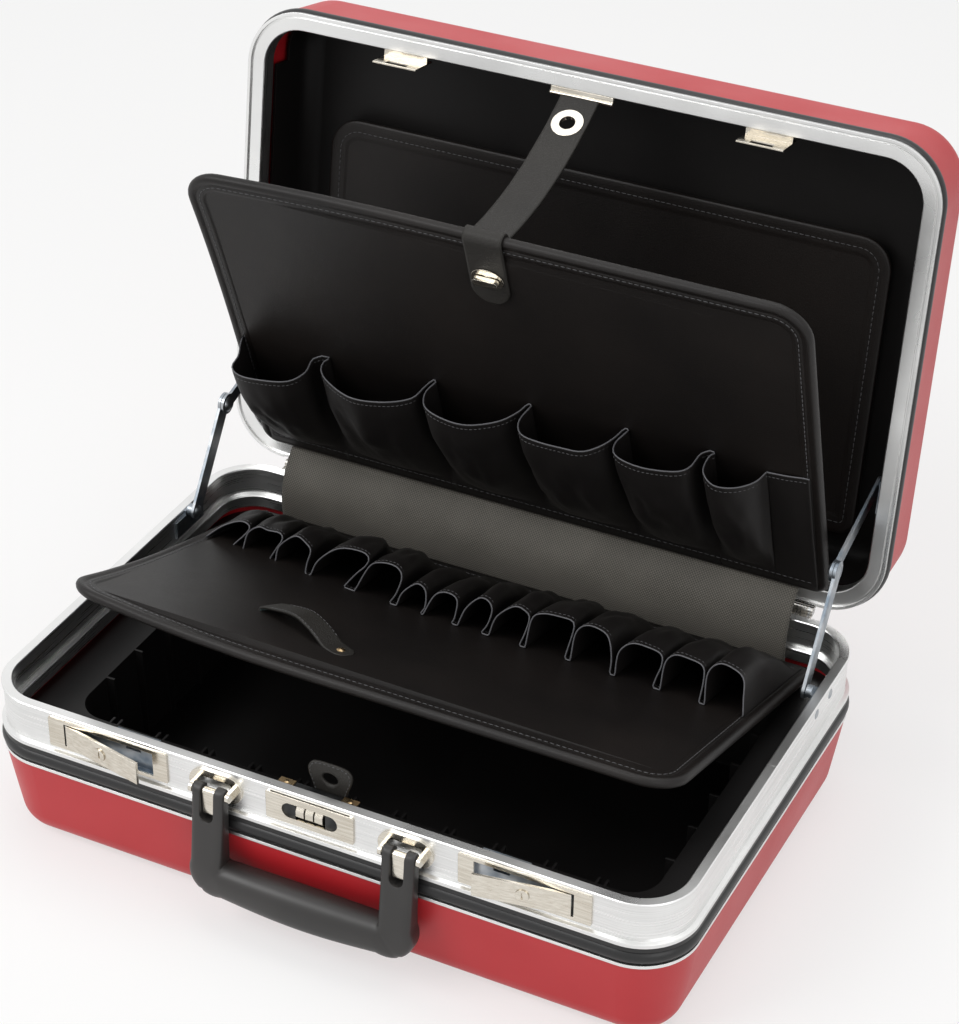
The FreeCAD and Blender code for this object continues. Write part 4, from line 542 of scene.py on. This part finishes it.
lower_seams = [(-202.5, 84), (-180, 86), (-149, 90), (-118, 97), (-87, 100), (-51, 104), (-27, 106), (-4, 107),
               (18, 108), (46, 110), (77.5, 109), (110, 112), (140, 113), (172, 115), (202.5, 117)]
lower_arches = [
    [(-192, 10), (-182, 16.5), (-174, 19.4), (-168.4, 17.6), (-170.6, 12)],
    [(-169.2, 12.5), (-161, 19.5), (-153, 19.4), (-143, 20.6), (-140.6, 17), (-144.2, 10)],
    [(-142.4, 11.6), (-130, 22.8), (-120.5, 21), (-116, 17), (-117.6, 8)],
    [(-110, 11), (-100, 21.5), (-90, 26.5), (-76, 28), (-70.8, 25), (-73, 19), (-79, 12)],
    [(-70, 19.5), (-62, 25), (-50, 26), (-44.5, 20.5), (-47, 8)],
    [(-42.5, 10), (-33, 19), (-26, 16.6), (-24.5, 6)],
    [(-19, 15), (-10.7, 19.6), (-2.6, 17), (-2.4, 5)],
    [(4.5, 13), (13, 22.7), (20, 22.5), (23.2, 17), (21.4, 7)],
    [(27, 14), (38.6, 24.7), (47.4, 23.6), (50, 19.4), (48.4, 9)],
    [(51.7, 20), (58.6, 25.5), (70, 26.6), (79, 26), (80.6, 21), (78.8, 9)],
    [(82.4, 19), (89.7, 26.6), (102, 25.8), (107, 20), (109.8, 9)],
    [(113.7, 15.5), (121, 24), (132, 25), (142, 23), (143.4, 16), (141.4, 8)],
    [(145.4, 18), (151, 25.4), (161, 26), (170.6, 24), (172.6, 15)],
    [(174.4, 20), (181, 29), (191, 28.6), (198.4, 24), (200.5, 11)],
]
upper_seams = [(-202.5, 108), (-142, 109), (-58.6, 114.5), (10, 115.7), (77.8, 116.8), (135.5, 117), (173.6, 111),
               (202.5, 115)]
upper_arches = [
    [(-200.5, 7), (-196.5, 17), (-196, 27), (-188, 32.5), (-174, 32.5), (-154, 28), (-145.6, 17), (-146.4, 5)],
    [(-137.6, 4), (-136, 12), (-126, 20.5), (-105, 29), (-82, 27), (-65, 19), (-61, 8)],
    [(-58, 12), (-52, 23.6), (-35, 29), (-19, 28.6), (-2, 20), (7, 9)],
    [(11, 15), (17, 25), (31, 27.6), (45, 27.6), (60, 26.4), (70, 18), (75.6, 8)],
    [(77.4, 14), (82.4, 23), (100, 26.6), (121, 23.4), (129.4, 17), (131.6, 5)],
    [(137.4, 5), (138.6, 17), (148, 24), (160, 20.6), (170, 11)],
    [(176, 0.5), (188, 0.9), (198, 0.5)],
]

# Width of cloth laid flat on the board at each seam, and the board's face plus half the cloth's thickness

lower_laid = [0, 8.0, 4.4, 3.8, 8.2, 5.0, 1.4, 4.0, 5.0, 3.6, 3.6, 3.2, 4.6, 3.4, 0]
upper_laid = [0, 7.0, 3.0, 3.0, 3.0, 4.0, 1.0, 0]
cloth_face = 2.2 + 0.75


def place_between(seams, x):
    """d of the seam line at x."""
    for (a, d), (b, e) in zip(seams, seams[1:]):
        if x <= b:
            return d + (e - d) * (max(x, a) - a) / (b - a)
    return seams[-1][1]


def pocket_columns(seams, arches, laid):
    """Columns of the strip: (x at the mouth, height at the mouth, x at the foot, share along its pocket). At each
    seam the cloth lies flat on the board for a few mm."""
    columns = []
    for i, ((left, right), arch) in enumerate(zip(zip(seams, seams[1:]), arches)):
        start, end = left[0] + laid[i] + 0.4, right[0] + (0.0 if i + 1 < len(arches) else -0.4)
        points = [(start - min(laid[i], 1.2), 0.0), (start, 0.5)] + arch
        points += [(end, 0.7), (end + min(laid[i + 1], 0.8), 0.0)]
        line = even_line(smooth_line(points, 6), 34)
        for k, place in enumerate(line):
            share = k / (len(line) - 1)
            foot = left[0] + (right[0] - left[0]) * share
            columns.append((place.x, max(place.y, 0.0), foot, share))
    return columns


def pocket_point(plane, seams, column, v, foot_d, seed):
    """A place on a pocket strip: v is 0 at the mouth and 1 at the foot."""
    x_mouth, rise, x_foot, share = column
    keep = min(max(v, 0.0), 1.0)
    x = x_mouth + (x_foot - x_mouth) * keep ** 1.3
    mouth_d = place_between(seams, x_mouth)
    d = mouth_d + (foot_d - mouth_d) * v
    bulge = math.cos(keep * math.pi / 2) ** 0.75
    swell = math.sin(math.pi * keep)
    folds = noise.noise(Vector((x * 0.075, d * 0.03, seed))) * 3.4
    folds += noise.noise(Vector((x * 0.2, d * 0.06, seed))) * 1.5
    h = rise * bulge + swell * (folds + 2.0) * min(rise / 9.0, 1.0)
    return on_plane(plane, x, d, cloth_face + max(h, 0.0))


def make_pockets(name, plane, body, node, seams, arches, laid, foot_d, seed):
    """Pocket strip with its piping and stitches."""
    columns = pocket_columns(seams, arches, laid)
    steps = [-0.012, 0.0, 0.03, 0.07] + [0.12 + 0.88 * k / 16 for k in range(17)] + [1.05, 1.1]
    rows = [[pocket_point(plane, seams, column, v, foot_d, seed) for column in columns] for v in steps]
    mesh = sheet_mesh(name, rows)
    width, length, area = cut_size(rows, mesh)
    mesh.materials.append(materials["cloth"])
    mesh = thickened(mesh, 0.9 * mm)
    main = make_piece(name, mesh, body, ["cloth"], [node])
    edge = [pocket_point(plane, seams, column, -0.01, foot_d, seed) for column in columns]
    below = [pocket_point(plane, seams, column, 0.024, foot_d, seed) for column in columns]
    _, _, normal = planes[plane]
    lifted = [p + normal * (0.62 * mm) for p in below]
    foot_xs = range(int(seams[0][0]) + 2, int(seams[-1][0]) - 1, 3)
    foot = [on_plane(plane, x, foot_d - 3.5, cloth_face + 0.55) for x in foot_xs]
    piping = make_piece(name + "_piping", tube_mesh(name + "_piping", [edge], 0.5 * mm, 8), body, ["binding"])
    paths = dashes(lifted, 3.0 * mm, 2.0 * mm) + dashes(foot, 4.2 * mm, 3.0 * mm)
    stitches = make_piece(name + "_stitches", tube_mesh(name + "_stitches", paths, 0.24 * mm, 6), body,
                          ["pale_thread"])
    for piece in (main, piping, stitches):
        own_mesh(piece)


# Spine, strap, finger strap, tab and gusset

spine_width, spine_bulge = 377, 7.6
spine_steps, spine_columns = 24, 120


def make_spine():
    """Woven back between the two boards' hinge lines, bulging to the front."""
    low, high = Vector((0, 141.4, 80.4)), Vector((0, 157.84, 132.52))
    along = (high - low).normalized()
    start, end = low + along * 0.8, high - along * 0.8
    forward = Vector((0, -along.z, along.y))
    rows = []
    for i in range(spine_steps + 1):
        s = i / spine_steps
        row = []
        for j in range(spine_columns + 1):
            x = spine_width * (j / spine_columns - 0.5)
            ripple = noise.noise(Vector((x * 0.02, s * 2.0, 4.0))) * 1.1 * math.sin(math.pi * s)
            out = 0.6 + 4 * spine_bulge * s * (1 - s) + ripple
            row.append((start.lerp(end, s) + forward * out + Vector((x, 0, 0))) * mm)
        rows.append(row)
    length = running([row[spine_columns // 2] for row in rows])[-1]
    mesh = sheet_mesh("spine_cloth", rows)
    mesh.materials.append(materials["spine"])
    spine = make_piece("spine_cloth", thickened(mesh, 1.1 * mm), None, ["spine"], ["fabric_spine"])
    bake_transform(spine)


# The strap along the upper board: where it meets the board's back, the edge it rounds, where it lies down, its end

strap_meets, strap_edge, strap_lies, strap_end = 257.0, 259.6, 247.6, 208.0
strap_turn_r, strap_height = 4.7, 4.3
strap_half, strap_sag = 13.0, 9.0
strap_steps = 150
slack_steps = 60
eyelet_hole_r, post_hole_r, post_d = 6.4, 3.9, 228.2


def strap_line():
    """Middle line of the strap, as places from its bracket to its rounded end."""
    start = Vector((0, 207.5, 414.3)) * mm
    back = on_plane("upper", 0, strap_meets, -strap_turn_r)
    sag = (start + back) * 0.5 - Vector((0, 0, strap_sag * mm))
    line = []
    for k in range(slack_steps):
        t = k / slack_steps
        line.append(start * ((1 - t) * (1 - 2 * t)) + sag * (4 * t * (1 - t)) + back * (t * (2 * t - 1)))
    line += [on_plane("upper", 0, strap_meets + (strap_edge - strap_meets) * k / 3, -strap_turn_r) for k in range(3)]
    for angle in range(-90, 91, 12):
        turn = math.radians(angle)
        line.append(on_plane("upper", 0, strap_edge + strap_turn_r * math.cos(turn), strap_turn_r * math.sin(turn)))
    for k in range(1, 8):
        share = k / 8
        line.append(on_plane("upper", 0, strap_edge + (strap_lies - strap_edge) * share,
                             strap_turn_r + (strap_height - strap_turn_r) * share))
    line += [on_plane("upper", 0, strap_lies + (strap_end - strap_lies) * k / 36, strap_height) for k in range(37)]
    return line


def make_strap():
    """Leather strap from the lid over the upper board's edge, with holes for its eyelet and the turn lock."""
    line = strap_line()
    reach = running(line)
    half_width = strap_half * mm
    rows = []
    for i in range(strap_steps):
        s = reach[-1] * i / (strap_steps - 1)
        left = reach[-1] - s
        half = half_width
        if left <= half_width:
            half = math.sqrt(max(half_width ** 2 - (half_width - left) ** 2, (2 * mm) ** 2))
        rows.append([place_along(line, reach, s) + Vector((half * (j / 8 - 1), 0, 0)) for j in range(17)])
    eyelet = sum((Vector(corner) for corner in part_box("strap_eyelet")), Vector()) / 2
    post = on_plane("upper", 0, post_d, strap_height)

    def skip(i, j):
        centre = (rows[i][j] + rows[i + 1][j + 1]) / 2
        return (centre - eyelet).length < eyelet_hole_r * mm or (centre - post).length < post_hole_r * mm

    for i, row in enumerate(rows[:slack_steps]):
        for j, p in enumerate(row):
            wave = noise.noise(Vector((p.x * 60, i * 0.13, 2.0))) * 0.35 * mm * min(i / 10, 1.0)
            row[j] = p + Vector((0, 0, wave))
    mesh = sheet_mesh("leather_strap", rows, skip)
    mesh.materials.append(materials["leather"])
    strap = make_piece("leather_strap", thickened(mesh, 1.9 * mm), None, ["leather"], ["strap"])
    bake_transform(strap)


loop_turn = math.radians(-113.5)
loop_foot = (-31.5, 209.5)
loop_half = 8.0


def make_finger_strap():
    """Leather loop with suede inside, sewn and riveted down at its foot."""
    line = [(-8.0, 0.95), (10, 0.95), (40, 0.95), (64, 0.95), (71.4, 0.95), (73.5, 2.0), (74.0, 3.5), (73.2, 5.2),
            (70, 6.6), (60, 9.0), (48, 11.6), (37, 12.6), (25, 10.2), (15, 6.4), (8, 3.6), (0, 2.9), (-8, 2.85)]
    points = even_line(smooth_line(line, 8), 110)
    rows = []
    for u, h in points:
        row = []
        for j in range(13):
            w = loop_half * (j / 6 - 1) * math.sqrt(1 - min(max((-1.0 - u) / 7.6, 0.0), 1.0) ** 2 * 0.97)
            x = loop_foot[0] + u * math.sin(loop_turn) + w * math.cos(loop_turn)
            d = loop_foot[1] + u * math.cos(loop_turn) - w * math.sin(loop_turn)
            row.append(on_plane("lower", x, d, 2.2 + h))
        rows.append(row)
    mesh = sheet_mesh("finger_loop", rows)
    for key in ("leather", "felt"):
        mesh.materials.append(materials[key])
    make_piece("finger_loop", thickened(mesh, 1.6 * mm, inside=1), "lower_board", ["leather"], ["finger_strap"])
    lift = planes["lower"][2] * (0.95 * mm)
    paths = []
    for k in (0, 11):
        line = [row[k].lerp(row[k + 1], 0.4) + lift for row in rows[62:96]]
        paths += dashes(line, 3.4 * mm, 2.3 * mm)
    make_piece("finger_loop_stitches", tube_mesh("finger_loop_stitches", paths, 0.25 * mm, 6), "lower_board",
               ["pale_thread"])


tab_tall = 36.0
tab_outline = [(-9.0, 0), (-9.6, 9), (-11.6, 18), (-14.4, 26), (-14.6, 31.5), (-10.8, 35.2), (0, tab_tall),
               (10.8, 35.2), (14.6, 31.5), (14.4, 26), (11.6, 18), (9.6, 9), (9.0, 0), (0, 0)]
tab_hole_centre = Vector((0, 25.4))
tab_hole_half = (5.4, 4.2)


def make_tab():
    """Leather tab with an oval hole, widest at its top."""
    low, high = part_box("front_tab")
    low, high = Vector(low) / mm, Vector(high) / mm
    middle = (low.x + high.x) / 2
    count = 64
    edge = even_line(smooth_line(tab_outline + tab_outline[:1], 6), count + 1)[:count]
    hole = []
    for p in edge:
        toward = (p - tab_hole_centre).normalized()
        hole.append(tab_hole_centre + Vector((toward.x * tab_hole_half[0], toward.y * tab_hole_half[1])))
    rings = 9
    points, faces = [], []
    for i in range(rings):
        t = i / (rings - 1)
        for a, b in zip(hole, edge):
            p = a.lerp(b, t)
            lean = low.y + 1.0 + (high.y - low.y - 1.9) * p.y / tab_tall
            points.append(Vector((middle + p.x, lean, low.z + p.y)) * mm)
    for i in range(rings - 1):
        for k in range(count):
            a, b = i * count + k, i * count + (k + 1) % count
            faces.append((a, b, b + count, a + count))
    mesh = bpy.data.meshes.new("leather_tab")
    mesh.from_pydata(points, [], faces)
    mesh.materials.append(materials["leather"])
    make_piece("leather_tab", thickened(mesh, 1.7 * mm), "base", ["leather"], ["front_tab"])
    line = [p - Vector((0, 0.95 * mm, 0)) for p in points[(rings - 2) * count:(rings - 1) * count]]
    stitches = tube_mesh("leather_tab_stitches", dashes(line, 3.0 * mm, 2.0 * mm), 0.25 * mm, 6)
    make_piece("leather_tab_stitches", stitches, "base", ["pale_thread"])


gusset_half, gusset_r = 192, 10
gusset_steps = 10


def make_gusset():
    """Pleated cloth round the sides and foot of the document panel."""
    side = [(-gusset_half, 190 - 6 * k) for k in range(30)]
    for angle in range(10, 91, 16):
        turn = math.radians(angle)
        side.append((-gusset_half + gusset_r * (1 - math.cos(turn)), gusset_r * (1 - math.sin(turn)) + 4))
    path = side + [(x, 4.2) for x in range(-176, 177, 8)] + [(-x, d) for x, d in reversed(side)]
    rows = []
    for k in range(gusset_steps + 1):
        t = k / gusset_steps
        out = 2.6 * math.sin(math.pi * t) + 0.8 * math.sin(3 * math.pi * t)
        row = []
        for x, d in path:
            pull = noise.noise(Vector((x * 0.05, d * 0.05, t))) * 0.6
            shift_x = (out + pull) * (1 if x > 0 else -1) * (1 if d > 6 else 0)
            shift_d = -(out + pull) * (0 if d > 6 else 0.3)
            row.append(on_plane("panel", x + shift_x, d + shift_d, -2.0 - 10.6 * t))
        rows.append(row)
    mesh = sheet_mesh("pocket_gusset", rows)
    width, length, area = cut_size(rows, mesh)
    mesh.materials.append(materials["cloth"])
    gusset = make_piece("pocket_gusset", thickened(mesh, 0.8 * mm), "lid", ["cloth"], ["panel_gusset"])


# Handle: two arms and a grip, swept round the inner corner where they meet

handle_inner_x, handle_inner_z = 54.0, 48.6
handle_pin_y, handle_pin_z = -161.5, 97.5
handle_lean, handle_lean_reach = 5.5, 62.5      # the grip stands this much further out, over this height
arm_width, arm_half_depth = 22, 4.8
elbow_half_depth, grip_half_depth = 7.8, 10.7
slot_middle, slot_r, slot_foot = 65, 4.8, 83.3
pin_hole_r = 2.05
ring_count = 40


def handle_ring(x, z, toward, reach, half_depth, square):
    """Closed section that starts at the inner line (x, z) and reaches out along toward, in the XZ plane."""
    y = handle_pin_y - handle_lean * min(max((handle_pin_z - z) / handle_lean_reach, 0.0), 1.0)
    out = []
    for k in range(ring_count):
        a = 2 * math.pi * k / ring_count
        c, d = math.cos(a), math.sin(a)
        along = math.copysign(abs(c) ** (2 / square), c) * reach / 2 + reach / 2
        deep = math.copysign(abs(d) ** (2 / square), d) * half_depth
        out.append(Vector((x + toward[0] * along, y + deep, z + toward[1] * along)) * mm)
    return out


def handle_sections():
    """Sections from the right arm's top round the elbow to the grip's middle, as the arguments of handle_ring."""
    out = []
    for k in range(7):
        turn = math.radians(9 + 81 * k / 6)
        z = handle_pin_z + arm_half_depth * math.cos(turn)
        out.append((handle_inner_x, z, (1, 0), arm_width, arm_half_depth * math.sin(turn), 6.0))
    for k in range(1, 15):
        t = k / 14
        z = handle_pin_z + (handle_inner_z - handle_pin_z) * t
        deep = arm_half_depth + (elbow_half_depth - arm_half_depth) * t * t
        out.append((handle_inner_x, z, (1, 0), arm_width, deep, 6.0 - 1.5 * t))
    for k in range(1, 19):
        t = k / 18
        a = math.radians(90 * t)
        groove = 0.975 if k == 11 else 1.0
        reach = (arm_width + 2.6 * t + 3.6 * math.sin(2 * a)) * groove
        deep = (elbow_half_depth + (grip_half_depth - elbow_half_depth) * t) * groove
        out.append((handle_inner_x, handle_inner_z, (math.cos(a), -math.sin(a)), reach, deep, 4.5 - 2.1 * t))
    for k in range(1, 16):
        t = k / 15
        swell = math.sin(math.pi * t / 2)
        out.append((handle_inner_x * (1 - t), handle_inner_z, (0, -1), arm_width + 2.6 + 3.4 * swell,
                    grip_half_depth + 1.2 * swell, 2.4))
    return out


def solid_mesh(name, rings):
    """Closed mesh over rings of equally many points."""
    count = len(rings[0])
    faces = [(i * count + k, i * count + (k + 1) % count, (i + 1) * count + (k + 1) % count, (i + 1) * count + k)
             for i in range(len(rings) - 1) for k in range(count)]
    faces.append(tuple(reversed(range(count))))
    faces.append(tuple(range((len(rings) - 1) * count, len(rings) * count)))
    mesh = bpy.data.meshes.new(name)
    mesh.from_pydata([p for ring in rings for p in ring], [], faces)
    return mesh


def slot_rings(x):
    """Rings of the rounded cutter for the clip's slot in an arm's top."""
    turns = [math.radians(a) for a in range(180, 361, 12)]
    profile = [(slot_r * math.cos(turn), slot_foot + slot_r * math.sin(turn)) for turn in turns]
    profile += [(slot_r, 112), (-slot_r, 112)]
    return [[Vector((x + px, y, z)) * mm for px, z in profile] for y in (-140, -190)]


def face_outward(mesh):
    """Turns a closed mesh's faces outward."""
    work = bmesh.new()
    work.from_mesh(mesh)
    bmesh.ops.recalc_face_normals(work, faces=work.faces)
    work.to_mesh(mesh)
    work.free()


def make_handle():
    """Moulded handle in one piece, cut out for its clips and pins."""
    half = handle_sections()
    rings = [handle_ring(*section) for section in half]
    mirror = [[Vector((-p.x, p.y, p.z)) for p in ring] for ring in reversed(rings[:-1])]
    mesh = solid_mesh("handle_body", rings + mirror)
    work = bpy.data.objects.new("handle_work", mesh)
    bpy.context.collection.objects.link(work)
    pin_line = [Vector((x, handle_pin_y, handle_pin_z)) * mm for x in (-90, 90)]
    cutters = [solid_mesh("slot_left", slot_rings(-slot_middle)), solid_mesh("slot_right", slot_rings(slot_middle)),
               tube_mesh("handle_bore", [pin_line], pin_hole_r * mm, 32, 1.0)]
    blocks = []
    for cutter in cutters:
        face_outward(cutter)
        block = bpy.data.objects.new(cutter.name, cutter)
        bpy.context.collection.objects.link(block)
        blocks.append(block)
        cut = work.modifiers.new(cutter.name, "BOOLEAN")
        cut.operation, cut.object = "DIFFERENCE", block
    face_outward(mesh)
    graph = bpy.context.evaluated_depsgraph_get()
    final = bpy.data.meshes.new_from_object(work.evaluated_get(graph), depsgraph=graph)
    for item in blocks + [work]:
        bpy.data.objects.remove(item)
    final.materials.clear()
    make_piece("handle_body", final, "carry_handle", ["handle"], ["carry_handle"])
    final.set_sharp_from_angle(angle=math.radians(40))


# Floor and light

floor_half = 6.0
floor_grey = shade((244, 244, 243))
floor_own_light = 0.6       # share of plain white in the floor, for the camera and for reflections
world_strength, backdrop_extra = 0.45, 0.55
light_target = (0, 0, 0.15)
lights = [("key", (-1.5, -1.6, 2.2), (1.8, 1.4), 38), ("top", (0.2, 0.4, 2.6), (2.2, 1.6), 22),
          ("fill", (1.9, -1.2, 1.2), (1.4, 1.4), 9)]


def make_floor():
    """Pale floor that keeps the object's shadow."""
    corners = [(-floor_half, -floor_half, 0), (floor_half, -floor_half, 0), (floor_half, floor_half, 0),
               (-floor_half, floor_half, 0)]
    mesh = bpy.data.meshes.new("floor")
    mesh.from_pydata(corners, [], [(0, 1, 2, 3)])
    floor = bpy.data.objects.new("floor", mesh)
    bpy.context.collection.objects.link(floor)
    n = Nodes("pale_floor")
    paths = n.add("ShaderNodeLightPath")
    seen = n.maths("MAXIMUM", paths.outputs["Is Camera Ray"], paths.outputs["Is Glossy Ray"])
    floor_material = n.shader(base_color=floor_grey, roughness=0.9)
    diffuse = n.output.inputs["Surface"].links[0].from_socket
    white = n.add("ShaderNodeEmission", {"Color": (1, 1, 1, 1), "Strength": 1.0})
    share = n.maths("MULTIPLY", seen, floor_own_light)
    mix = n.add("ShaderNodeMixShader", {0: share, 1: diffuse, 2: white.outputs[0]})
    n.tree.links.new(mix.outputs[0], n.output.inputs["Surface"])
    mesh.materials.append(floor_material)


def make_light(name, place, size, power):
    """Soft area light that faces the object."""
    data = bpy.data.lights.new(name, "AREA")
    data.shape = "RECTANGLE"
    data.size, data.size_y = size
    data.energy = power
    light = bpy.data.objects.new(name, data)
    aim = (Vector(light_target) - Vector(place)).to_track_quat("-Z", "Y")
    light.matrix_world = Matrix.LocRotScale(Vector(place), aim, None)
    bpy.context.collection.objects.link(light)


def make_world():
    """Even white surroundings, brighter where the camera, reflections or glass see them."""
    world = bpy.data.worlds.new("world")
    bpy.context.scene.world = world
    world.use_nodes = True
    nodes, links = world.node_tree.nodes, world.node_tree.links
    background = nodes["Background"]
    background.inputs["Color"].default_value = (1, 1, 1, 1)
    paths = nodes.new("ShaderNodeLightPath")
    first, second = nodes.new("ShaderNodeMath"), nodes.new("ShaderNodeMath")
    first.operation = second.operation = "MAXIMUM"
    links.new(paths.outputs["Is Camera Ray"], first.inputs[0])
    links.new(paths.outputs["Is Glossy Ray"], first.inputs[1])
    links.new(first.outputs[0], second.inputs[0])
    links.new(paths.outputs["Is Transmission Ray"], second.inputs[1])
    level = nodes.new("ShaderNodeMath")
    level.operation = "MULTIPLY_ADD"
    level.inputs[1].default_value, level.inputs[2].default_value = backdrop_extra, world_strength
    links.new(second.outputs[0], level.inputs[0])
    links.new(level.outputs[0], background.inputs["Strength"])


make_camera()
dress_nodes()
make_boards()
make_pockets("lower_pockets", "lower", "lower_board", "lower_board_pockets", lower_seams, lower_arches, lower_laid,
             15.5, 3.0)
make_pockets("upper_pockets", "upper", "upper_board", "upper_board_pockets", upper_seams, upper_arches, upper_laid,
             14.5, 8.0)
make_spine()
make_strap()
make_finger_strap()
make_tab()
make_gusset()
make_handle()
make_floor()
make_world()
for light in lights:
    make_light(*light)
bpy.context.scene.view_settings.view_transform = "Standard"
